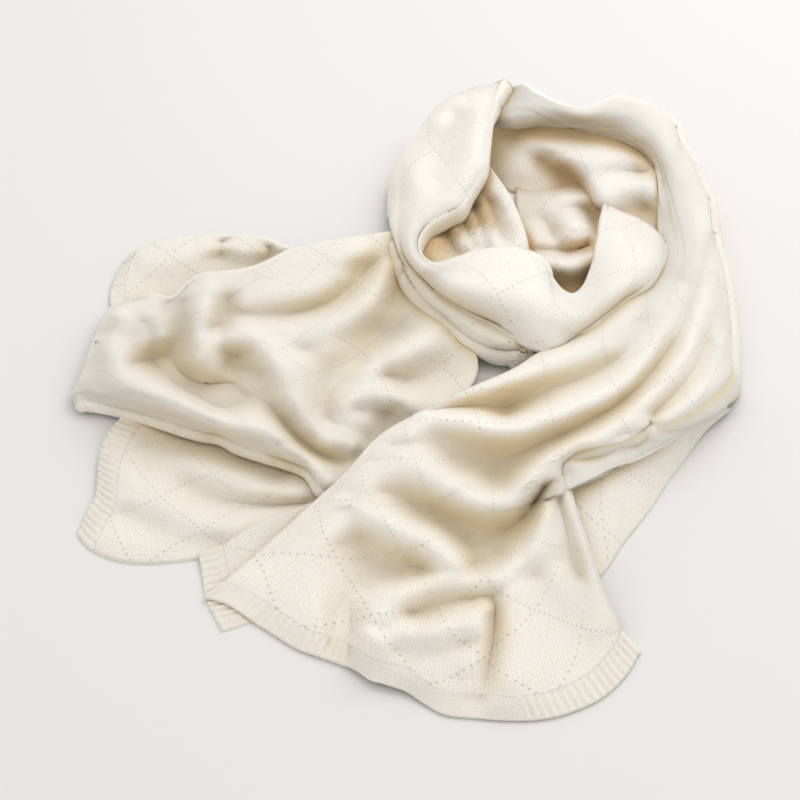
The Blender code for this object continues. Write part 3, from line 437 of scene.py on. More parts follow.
def with_joined_corners(curves):
    middles = [(curves[a][i] + curves[b][j]) / 2 for a, i, b, j in CORNERS]
    fade = np.clip(1 - np.linspace(0, 1, EDGE_POINTS) / CORNER_REACH, 0, 1)[:, None] ** 2
    for (a, i, b, j), middle in zip(CORNERS, middles):
        for side, end in ((a, i), (b, j)):
            curves[side] = curves[side] + (fade if end == 0 else fade[::-1]) * (middle - curves[side][end])
    return curves


def edge_curves(table):
    """The four edges of a stretch as fine curves (x, y, height, curl out, curl down), moved in."""
    curves = {}
    for side in SIDES:
        curl, *points = table[side]
        points = [point if len(point) == 5 else (*point, *curl) for point in points]
        curves[side] = smooth(points, EDGE_POINTS)
    for side, end in (("start", 0), ("end", -1)):  # both run from the back to the front
        if np.linalg.norm(curves[side][0, :2] - curves["back"][end, :2]) > SAME_CORNER:
            curves[side] = curves[side][::-1]
    loop = np.concatenate([curves["back"], curves["end"], curves["front"][::-1], curves["start"][::-1]])
    x, y = loop[:, 0], loop[:, 1]
    turning = np.sign(np.sum(x * np.roll(y, -1) - y * np.roll(x, -1)))
    for side in SIDES:
        curves[side] = moved_in(curves[side], turning if side in ("back", "end") else -turning)
    return with_joined_corners(curves)


def sample(curve, places):
    fine = np.linspace(0, 1, len(curve))
    return np.stack([np.interp(places, fine, c) for c in curve.T], axis=-1)


def plan_grid(curves, u, v):
    """An even grid between the four edges (a Coons patch)."""
    back, front = sample(curves["back"], u)[None], sample(curves["front"], u)[None]
    start, end = sample(curves["start"], v)[:, None], sample(curves["end"], v)[:, None]
    u3, v3 = u[None, :, None], v[:, None, None]
    bilinear = (
        (1 - u3) * (1 - v3) * curves["back"][0] + u3 * (1 - v3) * curves["back"][-1]
        + (1 - u3) * v3 * curves["front"][0] + u3 * v3 * curves["front"][-1]
    )
    return (1 - v3) * back + v3 * front + (1 - u3) * start + u3 * end - bilinear


def mean_size(table):
    """The mean width (back and front) and length (start and end) of a stretch, in millimetres."""
    curves = edge_curves(table)
    run = {side: path_length(on_sight_line(curves[side][:, :3])) for side in SIDES}
    return (run["back"] + run["front"]) / 2, (run["start"] + run["end"]) / 2


print("each edge gets", EDGE_POINTS, "points")

# %% [markdown]
# ## The thin plate
#
# Cloth is not a plate, but it bends as little as it can between its folds, and so does a thin plate.
# Mathematics has a short formula for one that is held at any points, so its height is known everywhere at
# once.

# %% Thin plate
PLATE_UNIT = 100.0  # millimetres: the plate is worked out in these, which keeps its sums balanced
PLATE_SPACING = 8.0  # millimetres between the points that hold the plate along a line
PLATE_SLACK = 0.0015  # how loosely they hold it
BATCHES = 40  # the heights are worked out in so many parts, which saves memory


def thin_plate(lines):
    """The height of a thin plate bent over the given lines, as a function of x and y."""
    knots = []
    for line in lines:
        line = np.asarray(line, float)
        knots.append(smooth(line, max(2, int(path_length(line[:, :2]) / PLATE_SPACING) + 1)))
    knots = np.concatenate(knots)
    places, heights = knots[:, :2] / PLATE_UNIT, knots[:, 2]

    def kernel(a, b):
        r2 = ((a[:, None] - b[None]) ** 2).sum(axis=2)
        return 0.5 * r2 * np.log(r2 + 1e-12)

    flat = np.column_stack([np.ones(len(places)), places])
    bending = kernel(places, places) + PLATE_SLACK * np.eye(len(places))
    system = np.block([[bending, flat], [flat.T, np.zeros((3, 3))]])
    weights = np.linalg.solve(system, np.concatenate([heights, np.zeros(3)]))

    def height(xy):
        bent = [
            kernel(part, places) @ weights[:-3] + weights[-3] + part @ weights[-2:]
            for part in np.array_split(xy.reshape(-1, 2) / PLATE_UNIT, BATCHES)
        ]
        return np.concatenate(bent).reshape(xy.shape[:-1])

    return height


print("a thin plate is held every", PLATE_SPACING, "mm")

# %% [markdown]
# ## Fuller folds and curled edges
#
# A thin plate makes its folds too shallow, so each fold gets part of its height again: a wide blur shows
# what is fold and what is not. A curled edge gets a few more rows that roll out and down, as plain knitting
# curls along its selvedge by itself.

# %% Underside of the cloth
TURN_STEPS = 7  # rows of points in a curl
STEEPEST = 0.8  # radians, the slope from which an edge starts to curl
LONG_FALL = 20  # millimetres: a curl that falls further is a wall of the swirl
WALL_TURN, CURL_TURN = 1.04, 1.35  # how far a wall and a plain curl turn, in right angles
INWARD = 2  # grid steps in from an edge, where its slope is read
FOLD_BLUR = 36  # rounds of blurring, each over a fraction of a grid step
FOLD_GAIN = 0.5  # the share of what the blur takes away that is added to a fold
EDGE_CALM = 6  # grid steps from an edge within which the gain fades
RIM_HEIGHT, RIM_CALM = 90, 25  # millimetres: the gain fades over the last 25 below the rim


def blurred(field, times):
    for _ in range(times):
        wide = np.pad(field, 1, mode="edge")
        beside = wide[:-2, 1:-1] + wide[2:, 1:-1] + wide[1:-1, :-2] + wide[1:-1, 2:]
        field = (beside + 4 * wide[1:-1, 1:-1]) / 8
    return field


def deepened(heights, gain):
    """Heights with fuller folds: what a wide blur would take away is partly added, but not near the edges or
    on the rim."""
    wide = blurred(heights, FOLD_BLUR)
    rows, columns = np.mgrid[0 : heights.shape[0], 0 : heights.shape[1]]
    inside = np.minimum(np.minimum(rows, rows[::-1]), np.minimum(columns, columns[:, ::-1]))
    near_edge, near_rim = np.clip(inside / EDGE_CALM, 0, 1), np.clip((RIM_HEIGHT - heights) / RIM_CALM, 0, 1)
    return heights + (heights - wide) * gain * near_edge * near_rim


def with_turned_edges(grid, turns, steps):
    """Adds rows and columns that curl out and down from each side that turns, from the cloth's slope on."""
    rows, columns = grid.shape[:2]
    back, end, front, start = steps
    r, c = np.mgrid[-back : rows + front, -start : columns + end]
    gr, gc = np.clip(r, 0, rows - 1), np.clip(c, 0, columns - 1)
    ring_r, ring_c = np.abs(r - gr), np.abs(c - gc)
    along_v, along_u = np.gradient(grid, axis=0)[..., :2], np.gradient(grid, axis=1)[..., :2]
    flip = np.sign(np.median(along_u[..., 0] * along_v[..., 1] - along_u[..., 1] * along_v[..., 0]))

    def beside(along, sign):
        normal = np.stack([along[..., 1], -along[..., 0]], axis=-1) * sign * flip
        return normal / (np.linalg.norm(normal, axis=-1, keepdims=True) + TINY)

    towards = beside(along_u, 1)[gr, gc] * np.where(r < 0, 1, -1)[..., None] * ring_r[..., None]
    towards += beside(along_v, -1)[gr, gc] * np.where(c < 0, 1, -1)[..., None] * ring_c[..., None]
    towards /= np.linalg.norm(towards, axis=2)[..., None] + TINY
    in_r, in_c = INWARD * ((r < 0) * 1 - (r >= rows)), INWARD * ((c < 0) * 1 - (c >= columns))
    inner = grid[gr + in_r, gc + in_c] - grid[gr, gc]
    first = np.clip(np.arctan2(inner[..., 2], np.linalg.norm(inner[..., :2], axis=2)), 0.0, STEEPEST)
    out, fall = turns[gr, gc, 0], turns[gr, gc, 1]
    whole = np.pi / 2 * np.where(fall > LONG_FALL, WALL_TURN, CURL_TURN)
    angle = first + (whole - first) * np.maximum(ring_r, ring_c) / TURN_STEPS
    turned = grid[gr, gc]
    turned[..., :2] += towards * (out * (np.sin(angle) - np.sin(first)) / (1 - np.sin(first)))[..., None]
    turned[..., 2] = np.maximum(turned[..., 2] - fall * (np.cos(first) - np.cos(angle)), 0.0)
    return turned


def underside(table, u, v, gain):
    """The grid of points of the lower side of a stretch, with its curled edges."""
    curves = edge_curves(table)
    plan = plan_grid(curves, u, v)
    lines = [curves[side][:, :3] for side in SIDES] + list(table["folds"])
    heights = np.maximum(deepened(thin_plate(lines)(plan[..., :2]), gain), 0.0)
    grid = on_sight_line(np.concatenate([plan[..., :2], heights[..., None]], axis=2))
    steps = [TURN_STEPS * (table[side][0] != CUT_EDGE) for side in SIDES]
    return with_turned_edges(grid, plan[..., 3:], steps)


print("curls of", TURN_STEPS, "steps")

# %% [markdown]
# ## Laying one sheet on another
#
# A stretch that lies on another is lifted off it. A ray is dropped on every third point each way, and the
# lift is eased between them. A mesh for rays is kept of each finished sheet.

# %% Lift
SPACING = 3.2  # of the grid, in millimetres
LIFT_SPACING = 11.0  # between the rays that are dropped
LAY_GAP = 1.0
RAY_START = 900.0  # millimetres, well above the heap
EASE_ROUNDS = 3
tops = {}  # name: the grid of points of the upper side
trees = {}  # name: the same as a mesh for rays


def resized(field, rows, columns):
    """A grid of numbers, smoothly spread over another number of rows and columns."""
    across = np.linspace(0, field.shape[1] - 1, columns)
    down = np.linspace(0, field.shape[0] - 1, rows)
    wide = np.array([np.interp(across, np.arange(field.shape[1]), row) for row in field])
    return np.array([np.interp(down, np.arange(field.shape[0]), column) for column in wide.T]).T


def lifted(grid, beside=()):
    """Lifts a grid off the sheets that it lies on, and not off those that are beside it."""
    rows, columns = grid.shape[:2]
    step = max(1, round(LIFT_SPACING / SPACING))
    coarse = grid[::step, ::step]
    need = np.zeros(coarse.shape[:2])
    below = [tree for name, tree in trees.items() if name not in beside]
    down = Vector((0.0, 0.0, -1.0))
    for index in np.ndindex(need.shape):
        x, y, z = coarse[index]
        hits = [tree.ray_cast(Vector((x, y, RAY_START)), down)[0] for tree in below]
        need[index] = max([0.0] + [hit.z + LAY_GAP - z for hit in hits if hit])
    eased = need.copy()
    for _ in range(EASE_ROUNDS):
        eased = np.maximum(need, blurred(eased, 1))
    raised = grid.copy()
    raised[..., 2] += resized(blurred(eased, 1), rows, columns)
    return raised


print("each sheet lies", LAY_GAP, "mm above the ones below")

# %% [markdown]
# ## From two grids to a sheet
#
# The lower grid and the upper one are closed with a wall round the edge. The wall is shaded flat, because a
# cut edge is crisp, and the rest smooth.

# %% Sheet object
pieces = {}  # name: object


def normals_of(grid):
    normal = np.cross(np.gradient(grid, axis=1), np.gradient(grid, axis=0))
    normal /= np.linalg.norm(normal, axis=2)[..., None] + TINY
    return normal * (1 if np.median(normal[..., 2]) > 0 else -1)


def running_length(grid, axis):
    """How far along the cloth each row (axis 0) or column (axis 1) of a grid is, on the mean."""
    steps = np.linalg.norm(np.diff(grid, axis=axis), axis=2).mean(axis=1 - axis)
    return np.concatenate([[0], np.cumsum(steps)])


def quads(rows, columns):
    """The faces of a grid, each as the numbers of its four points."""
    index = np.arange(rows * columns).reshape(rows, columns)
    corners = (index[:-1, :-1], index[:-1, 1:], index[1:, 1:], index[1:, :-1])
    return np.stack([corner.ravel() for corner in corners], axis=1)


def sheet_object(name, lower, upper, flat_u, flat_v, material):
    """A closed sheet between two grids of points, with its flat measure as a UV map."""
    rows, columns = lower.shape[:2]
    points = np.concatenate([lower.reshape(-1, 3), upper.reshape(-1, 3)])
    index, above = np.arange(rows * columns).reshape(rows, columns), rows * columns
    loop = np.concatenate([index[0, :-1], index[:-1, -1], index[-1, :0:-1], index[:0:-1, 0]])
    after = np.roll(loop, -1)
    wall = np.stack((after, loop, loop + above, after + above), axis=-1)
    grid_faces = quads(rows, columns)
    faces = np.concatenate([grid_faces, grid_faces[:, ::-1] + above, wall])
    a, b, c, d = points[faces].swapaxes(0, 1)
    if (a * np.cross(b - a, c - a)).sum() + (a * np.cross(c - a, d - a)).sum() < 0:  # inside out
        faces = faces[:, ::-1]
    mesh = bpy.data.meshes.new(name)
    mesh.from_pydata((points / MM).tolist(), [], faces.tolist())
    flat = np.tile(np.stack([flat_u.ravel(), flat_v.ravel()], axis=1), (2, 1)) / UV_UNIT
    layer = mesh.uv_layers.new(name="flat")
    layer.uv.foreach_set("vector", flat[faces.ravel()].astype(np.float32).ravel())
    mesh.polygons.foreach_set("use_smooth", np.arange(len(faces)) < len(faces) - len(wall))
    mesh.materials.append(material)
    pieces[name] = bpy.data.objects.new(name, mesh)
    bpy.context.scene.collection.objects.link(pieces[name])
    tops[name] = upper
    upper_points = [Vector(point) for point in upper.reshape(-1, 3)]
    trees[name] = BVHTree.FromPolygons(upper_points, grid_faces.tolist())
    return pieces[name]


print("sheets can be closed")

# %% [markdown]
# ## The knitted sheet
#
# Soft cloth is never quite even, so the grid gets a sum of long, low waves before it gets its thickness.
# They fade towards a ribbed hem and towards the table, so the sheet meets both without a step.

# %% Knitted sheet
KNIT_WALL = 2.0  # millimetres
LEAST_WALL = 0.3  # from the table to the upper side
CALM_ROWS, CALM_HEIGHT = 10, 10  # the waves fade over so many rows from a hem, and millimetres from the table
SHORTEST_WAVE, WAVE_STEP = 22.0, 5.0  # millimetres: the lengths of the waves
WAVE_FLATNESS = 700  # how many times its height a wave is long
WAVES = np.random.default_rng(11).normal(size=(14, 4))[:, :3]  # each a direction in two numbers, and a phase


def ripples(flat_u, flat_v):
    """The small unevenness of soft cloth, in millimetres."""
    total = np.zeros(flat_u.shape)
    for k, (p, q, phase) in enumerate(WAVES):
        length = SHORTEST_WAVE + WAVE_STEP * k
        angle = math.atan2(q, p)
        along = flat_u * math.cos(angle) + flat_v * math.sin(angle)
        total += np.sin(along * 2 * math.pi / length + 3 * phase) * length
    return total / WAVE_FLATNESS


def knit_sheet(name, table, run="v", hem=None, band=0.0, gain=FOLD_GAIN, material=KNIT):
    """Makes a stretch of cloth from its table. The shawl's length runs from start to end (u) or from back to
    front (v). hem is the side where a ribbed band takes over, and band its width."""
    wide, long = mean_size(table)
    u = np.linspace(band / wide if hem == "start" else 0, 1, int(wide / SPACING) + 1)
    v = np.linspace(0, 1 - band / long if hem == "front" else 1, int(long / SPACING) + 1)
    grid = lifted(underside(table, u, v, gain))
    r, c = grid.shape[:2]
    flat_u = np.broadcast_to(running_length(grid, 1), (r, c))
    flat_v = np.broadcast_to(running_length(grid, 0)[:, None], (r, c))
    if run == "u":
        flat_u, flat_v = flat_v, flat_u
    from_hem = {"front": np.arange(r)[::-1, None], "start": np.arange(c)[None]}.get(hem, np.full((1, 1), r))
    calm = np.clip(from_hem / CALM_ROWS, 0, 1)[..., None] * np.clip(grid[..., 2:3] / CALM_HEIGHT, 0, 1)
    grid = grid + normals_of(grid) * ripples(flat_u, flat_v)[..., None] * calm
    grid[..., 2] = np.maximum(grid[..., 2], 0.0)
    upper = grid + normals_of(grid) * KNIT_WALL
    upper[..., 2] = np.maximum(upper[..., 2], LEAST_WALL)
    piece = sheet_object(name, grid, upper, flat_u, flat_v, material)
    size = f"{flat_u.max() / MM:.3f} m by {flat_v.max() / MM:.3f} m"
    print(name, f"{r}x{c} points, {size}, {2 * len(piece.data.polygons)} triangles")
    return piece


print("waves from", SHORTEST_WAVE, "to", SHORTEST_WAVE + WAVE_STEP * (len(WAVES) - 1), "mm long")

# %% [markdown]
# ## The ribbed hems
#
# At each end of the shawl the knitting changes to ribs: two columns that stand up, then two that lie back.
# At this size the ribs are real shape, and not only shading, so the hem is a finer grid with its outer side
# raised in waves. It is the same surface as the cloth beside it, so the two meet without a step.

# %% Ribbed hem
RIB_BAND = 24.0  # millimetres, along the cloth
RIB_PITCH = 8.0
RIB_RISE = 1.6
RIB_SINK = 0.3  # the share of the rise that goes below the plain cloth, in the grooves
RIB_FLATNESS = 1.6  # 1 makes round ribs, and more makes ribs with flat tops
RIB_LAP = 1.5  # how far the band reaches into the cloth beside it
LEAST_RIB = 0.4  # its least thickness in millimetres
RIB_ROWS = 12
POINTS_A_RIB = 8
PLAIN_FADE = 0.03  # the share of the hem over which the ribs fade away beside a plain stretch
LAP_FADE = 0.25  # the share of the band over which they rise from the plain cloth


def ribbed_hem(name, table, side, cloth, band=RIB_BAND, plain=()):
    """The ribbed band at a hem, on the surface of the stretch that the table gives. Between the shares of the
    hem that plain names, the ribs fade away."""
    wide, long = mean_size(table)
    count = int(path_length(on_sight_line(edge_curves(table)[side][:, :3])) / RIB_PITCH)
    across, along = np.linspace(0, 1, RIB_ROWS + 1), np.linspace(0, 1, count * POINTS_A_RIB + 1)
    if side == "front":
        grid = underside(table, along, 1 - (band + RIB_LAP) / long * (1 - across), 0)
    else:
        grid = underside(table, (band + RIB_LAP) / wide * across, along, 0).swapaxes(0, 1)[::-1]
    grid = lifted(grid, beside=[cloth])
    r, c = grid.shape[:2]
    flat_u = running_length(grid, 1)
    wave = np.clip(np.sin(flat_u / RIB_PITCH * 2 * math.pi) * RIB_FLATNESS, -1, 1) * 0.5 + 0.5
    shown, place = np.ones(c), np.linspace(0, 1, c)
    for low, high in plain:
        outside = np.maximum(low - place, place - high)
        shown = np.minimum(shown, np.clip(outside / PLAIN_FADE + 1, 0, 1))
    depth = np.linspace(0, 1, r)
    rise = RIB_RISE * ((wave - RIB_SINK) * shown)[None, :] * np.clip(depth / LAP_FADE, 0, 1)[:, None]
    upper = grid + normals_of(grid) * (KNIT_WALL + rise)[..., None]
    lower = grid.copy()
    lower[..., 2] = np.maximum(lower[..., 2], 0.0)
    upper[..., 2] = np.maximum(upper[..., 2], lower[..., 2] + LEAST_RIB)
    flat_v = np.broadcast_to((depth * band)[:, None], (r, c))
    piece = sheet_object(name, lower, upper, np.broadcast_to(flat_u, (r, c)), flat_v, RIB)
    print(name, count, "ribs,", 2 * len(piece.data.polygons), "triangles")
    return piece


print("ribs of", RIB_PITCH, "mm")

# %% [markdown]
# ## The left tail: the flap at the back
#
# The lowest layer of the left tail lies flat and shows behind the others, with one soft ridge.

# %% Back flap
TAIL_LEFT_BACK = {
    "start": (CUT_EDGE, (-471, -28, 4), (-479, -54, 2), (-481, -84, 2), (-475, -112, 1)),
    "end": (CUT_EDGE, (-262, -12, 26), (-268, -34, 31), (-270, -55, 30)),
    "back": ((8, 8), (-471, -28, 4), (-462, -12, 9), (-440, 2, 13), (-420, 10, 16), (-380, 15, 17),
        (-345, 14, 18), (-318, 8, 18), (-300, -3, 20), (-262, -12, 26)),
    "front": (CUT_EDGE, (-475, -112, 1), (-430, -130, 1), (-380, -100, 4), (-330, -80, 14),
        (-270, -55, 30)),
    "folds": (
        ((-452, -22, 13), (-420, -10, 17), (-385, -6, 17), (-350, -5, 18), (-325, -10, 15)),
        ((-368, 8, 12), (-370, -20, 7), (-372, -45, 4)),
        ((-316, -2, 11), (-322, -20, 6), (-326, -35, 4)),
        ((-460, -60, 5), (-420, -50, 8), (-395, -42, 8)),
    ),
}
back_flap = knit_sheet("back_flap", TAIL_LEFT_BACK, run="u", hem="start", band=18)
back_hem = ribbed_hem("back_hem", TAIL_LEFT_BACK, "start", "back_flap", band=18, plain=[(0.55, 1.0)])

# %% [markdown]
# ## The left tail: the lower flap
#
# The end of the shawl comes out from under the big billow. Its hem has the ribbed band.

# %% Lower flap
TAIL_LEFT_LOWER = {
    "start": (CUT_EDGE, (-438, -215, 9), (-456, -252, 8), (-467, -275, 6), (-472, -301, 4), (-471, -355, 3),
        (-477, -372, 2), (-484, -402, 0)),
    "end": (CUT_EDGE, (-240, -320, 0), (-245, -350, 0), (-250, -385, 0)),
    "back": (CUT_EDGE, (-438, -215, 9), (-400, -225, 4), (-340, -260, 2), (-290, -285, 1), (-240, -320, 0)),
    "front": (CUT_EDGE, (-484, -402, 0), (-473, -417, 0), (-452, -430, 0), (-431, -436, 0), (-402, -436, 0),
        (-367, -431, 0), (-330, -420, 0), (-290, -400, 0), (-250, -385, 0)),
    "folds": (
        ((-402, -314, 7), (-381, -310, 11), (-355, -322, 13), (-331, -337, 13), (-302, -350, 12),
         (-275, -355, 8)),
        ((-425, -288, 3), (-380, -292, 2), (-340, -310, 1), (-300, -330, 0)),
        ((-387, -340, 3), (-372, -360, 2), (-343, -364, 1), (-299, -366, 1), (-269, -362, 1)),
        ((-417, -334, 9), (-402, -360, 11), (-384, -378, 11), (-361, -390, 10), (-340, -390, 8),
         (-313, -380, 7), (-275, -373, 5)),
        ((-455, -290, 8), (-450, -340, 9), (-440, -360, 9)),
        ((-443, -372, 3), (-428, -387, 2), (-411, -399, 2)),
        ((-460, -405, 4), (-430, -416, 4), (-390, -416, 3), (-350, -408, 2)),
    ),
}
lower_flap = knit_sheet("lower_flap", TAIL_LEFT_LOWER, run="u", hem="start", band=RIB_BAND)
lower_hem = ribbed_hem("lower_hem", TAIL_LEFT_LOWER, "start", "lower_flap")

# %% [markdown]
# ## The small layer between the tails
#
# A corner of the other tail's underside shows here, with its ribbed hem.

# %% Under layer
TAIL_FRONT_UNDER = {
    "start": (CUT_EDGE, (-368, -424, 3), (-363, -450, 1), (-358, -478, 0), (-341, -516, 0)),
    "end": (CUT_EDGE, (-262, -362, 6), (-255, -400, 2), (-250, -430, 0)),
    "back": (CUT_EDGE, (-368, -424, 3), (-350, -418, 5), (-331, -402, 6), (-302, -384, 7), (-280, -372, 8),
        (-262, -362, 6)),
    "front": (CUT_EDGE, (-341, -516, 0), (-318, -506, 0), (-290, -480, 0), (-250, -430, 0)),
    "folds": (
        ((-345, -440, 3), (-300, -410, 4)),
    ),
}
under_layer = knit_sheet("under_layer", TAIL_FRONT_UNDER, run="u", hem="start", band=RIB_BAND)
under_hem = ribbed_hem("under_hem", TAIL_FRONT_UNDER, "start", "under_layer")

# %% [markdown]
# ## The left tail: the big billow
#
# The main layer of the left tail is full of soft folds that run towards the swirl. Its near edge folds
# under. The folds are written in groups: along the near edge, in the left part, in the middle, at the swirl
# and near the front tail.

# %% Billow
TAIL_LEFT_TOP = {
    "start": ((7, 7), (-457, -84, 16), (-479, -96, 18), (-488, -122, 20), (-495, -157, 21),
        (-500, -192, 20), (-507, -216, 18), (-500, -236, 15)),
    "end": (CUT_EDGE, (-165, 28, 17), (-150, -40, 15), (-135, -100, 16), (-105, -150, 16), (-100, -190, 14),
        (-130, -250, 14), (-160, -300, 10), (-205, -372, 4)),
    "back": ((8, 10), (-457, -84, 16), (-440, -76, 22), (-418, -80, 24), (-405, -62, 28), (-390, -46, 32),
        (-367, -43, 34), (-349, -40, 34), (-325, -30, 35), (-297, -10, 37), (-269, 0, 37), (-243, 8, 35),
        (-213, 14, 28), (-187, 20, 21), (-165, 28, 17)),
    "front": ((6, 8), (-500, -236, 15), (-482, -242, 15), (-458, -250, 15), (-431, -260, 16),
        (-402, -272, 17), (-378, -281, 17), (-355, -287, 17), (-337, -300, 17), (-313, -310, 17),
        (-290, -319, 16), (-269, -331, 15), (-257, -352, 14), (-235, -366, 10), (-205, -372, 4)),
    "folds": (
        # the long ridge along the near edge, and the valley behind it
        ((-472, -108, 36), (-465, -151, 41), (-458, -182, 44), (-441, -203, 46), (-417, -216, 46),
         (-390, -234, 46), (-367, -248, 45), (-343, -258, 44), (-323, -259, 42), (-301, -275, 39),
         (-283, -295, 34), (-266, -317, 27), (-251, -339, 19)),
        ((-486, -145, 31), (-481, -188, 32), (-472, -216, 32), (-443, -229, 33), (-408, -242, 33),
         (-372, -259, 33), (-341, -271, 32), (-314, -282, 30), (-288, -303, 26)),
        ((-447, -177, 16), (-429, -191, 12), (-405, -210, 9), (-381, -228, 9), (-356, -242, 8),
         (-330, -236, 8), (-310, -234, 8), (-296, -261, 8), (-280, -284, 8), (-259, -303, 7),
         (-239, -316, 6)),
        # the loops and ridges of the left part
        ((-453, -96, 32), (-453, -125, 34), (-447, -145, 29)),
        ((-439, -96, 30), (-431, -114, 33), (-422, -137, 29)),
        ((-442, -116, 28), (-436, -131, 27)),
        ((-402, -87, 22), (-402, -111, 16), (-402, -140, 13), (-398, -174, 11)),
        ((-381, -69, 38), (-384, -108, 38), (-385, -145, 36), (-380, -171, 30), (-373, -192, 18)),
        ((-360, -82, 22), (-366, -102, 18), (-368, -125, 16)),
        ((-353, -177, 9), (-346, -196, 6)),
        # the middle ridge, which turns round and comes back to the right
        ((-363, -160, 22), (-360, -144, 30), (-345, -134, 36), (-329, -135, 39), (-315, -154, 39),
         (-304, -187, 36), (-293, -216, 31), (-282, -242, 27), (-269, -267, 24), (-252, -286, 22),
         (-223, -287, 19)),
        ((-344, -163, 13), (-340, -185, 8), (-330, -210, 7)),
        ((-318, -188, 18), (-311, -216, 14)),
        # the fold above the middle
        ((-302, -140, 34), (-281, -128, 33), (-255, -115, 33), (-233, -102, 31), (-216, -85, 29),
         (-204, -71, 26), (-193, -36, 25)),
        ((-332, -114, 19), (-297, -111, 15), (-270, -103, 12), (-248, -91, 10), (-229, -69, 9),
         (-211, -40, 10), (-200, -26, 16)),
        ((-281, -157, 27), (-255, -160, 25), (-235, -138, 22)),
        ((-201, -105, 14), (-216, -131, 11), (-230, -163, 8), (-245, -196, 6), (-257, -227, 6),
         (-250, -254, 9)),
        ((-350, -64, 32), (-300, -52, 34), (-260, -37, 34), (-225, -17, 31), (-200, 0, 24)),
        ((-340, -91, 27), (-290, -88, 25), (-260, -74, 23), (-238, -52, 22)),
        # the folds at the swirl's wall
        ((-182, -36, 15), (-183, -63, 12), (-191, -90, 11)),
        ((-229, -205, 19), (-213, -187, 26), (-195, -171, 30), (-175, -154, 32), (-154, -137, 32),
         (-135, -124, 26)),
        ((-172, -100, 11), (-176, -130, 9), (-195, -148, 8), (-222, -180, 8)),
        ((-190, -192, 17), (-160, -182, 17), (-138, -168, 19)),
        ((-174, -205, 10), (-148, -207, 9), (-125, -195, 9)),
        # the small loop near the front tail
        ((-240, -262, 17), (-236, -235, 24), (-225, -220, 29), (-200, -214, 30), (-183, -223, 29),
         (-171, -240, 20)),
        ((-221, -240, 19), (-212, -254, 16), (-221, -270, 14)),
        ((-189, -244, 8), (-200, -262, 6), (-210, -282, 5)),
    ),
}
billow = knit_sheet("billow", TAIL_LEFT_TOP, run="u", gain=0.3)

# %% [markdown]
# ## Under the crest of the front tail
#
# The right side of the front tail folds over, and the layer below it shows as a plain flank.

# %% Flank
TAIL_FRONT_FLANK = {
    "back": (CUT_EDGE, (-24, -320, 30), (-5, -306, 34), (20, -298, 35), (45, -288, 35), (75, -273, 35),
        (105, -257, 33), (140, -236, 28)),
    "front": (CUT_EDGE, (-2, -460, 0), (8, -452, 0), (33, -410, 0), (60, -370, 0), (83, -330, 0),
        (100, -303, 1), (122, -268, 3), (150, -238, 8)),
    "start": (CUT_EDGE, (-24, -320, 30), (-26, -350, 27), (-18, -400, 18), (-6, -440, 8), (-2, -460, 0)),
    "end": (CUT_EDGE, (140, -236, 28), (150, -238, 8)),
    "folds": (
        ((0, -345, 27), (30, -320, 27), (65, -295, 27), (100, -272, 24)),
        ((12, -400, 12), (40, -360, 12), (75, -315, 12)),
    ),
}
flank = knit_sheet("flank", TAIL_FRONT_FLANK)

# %% [markdown]
# ## The swirl: the band below the collar
#
# One turn of the swirl shows as a narrow band between the billow and the collar. It bulges in the middle
# and curls under at its lower edge.

# %% Outer band
SWIRL_OUTER_BAND = {
    "back": (CUT_EDGE, (-173, 10, 29), (-169, -5, 29), (-162, -20, 28), (-150, -48, 28), (-128, -78, 28),
        (-98, -103, 28), (-70, -122, 30), (-40, -146, 33), (-20, -152, 34)),
    "front": ((8, 14), (-189, 5, 26), (-188, -8, 25), (-186, -20, 23), (-180, -48, 22), (-169, -76, 22),
        (-152, -108, 22), (-129, -139, 22), (-106, -163, 22), (-76, -178, 23), (-45, -175, 28),
        (-22, -164, 32)),
    "start": (CUT_EDGE, (-173, 10, 29), (-181, 8, 28), (-189, 5, 26)),
    "end": (CUT_EDGE, (-20, -152, 34), (-22, -164, 32)),
    "folds": (
        ((-176, -30, 30), (-158, -70, 30), (-133, -105, 30), (-108, -130, 30), (-78, -148, 31),
         (-45, -160, 33)),
    ),
}
outer_band = knit_sheet("outer_band", SWIRL_OUTER_BAND, run="u")

# %% [markdown]
# ## The swirl: the core
#
# In the middle of the hollow the cloth coils once round itself. The coil's folds are so close together that
# they get no gain.

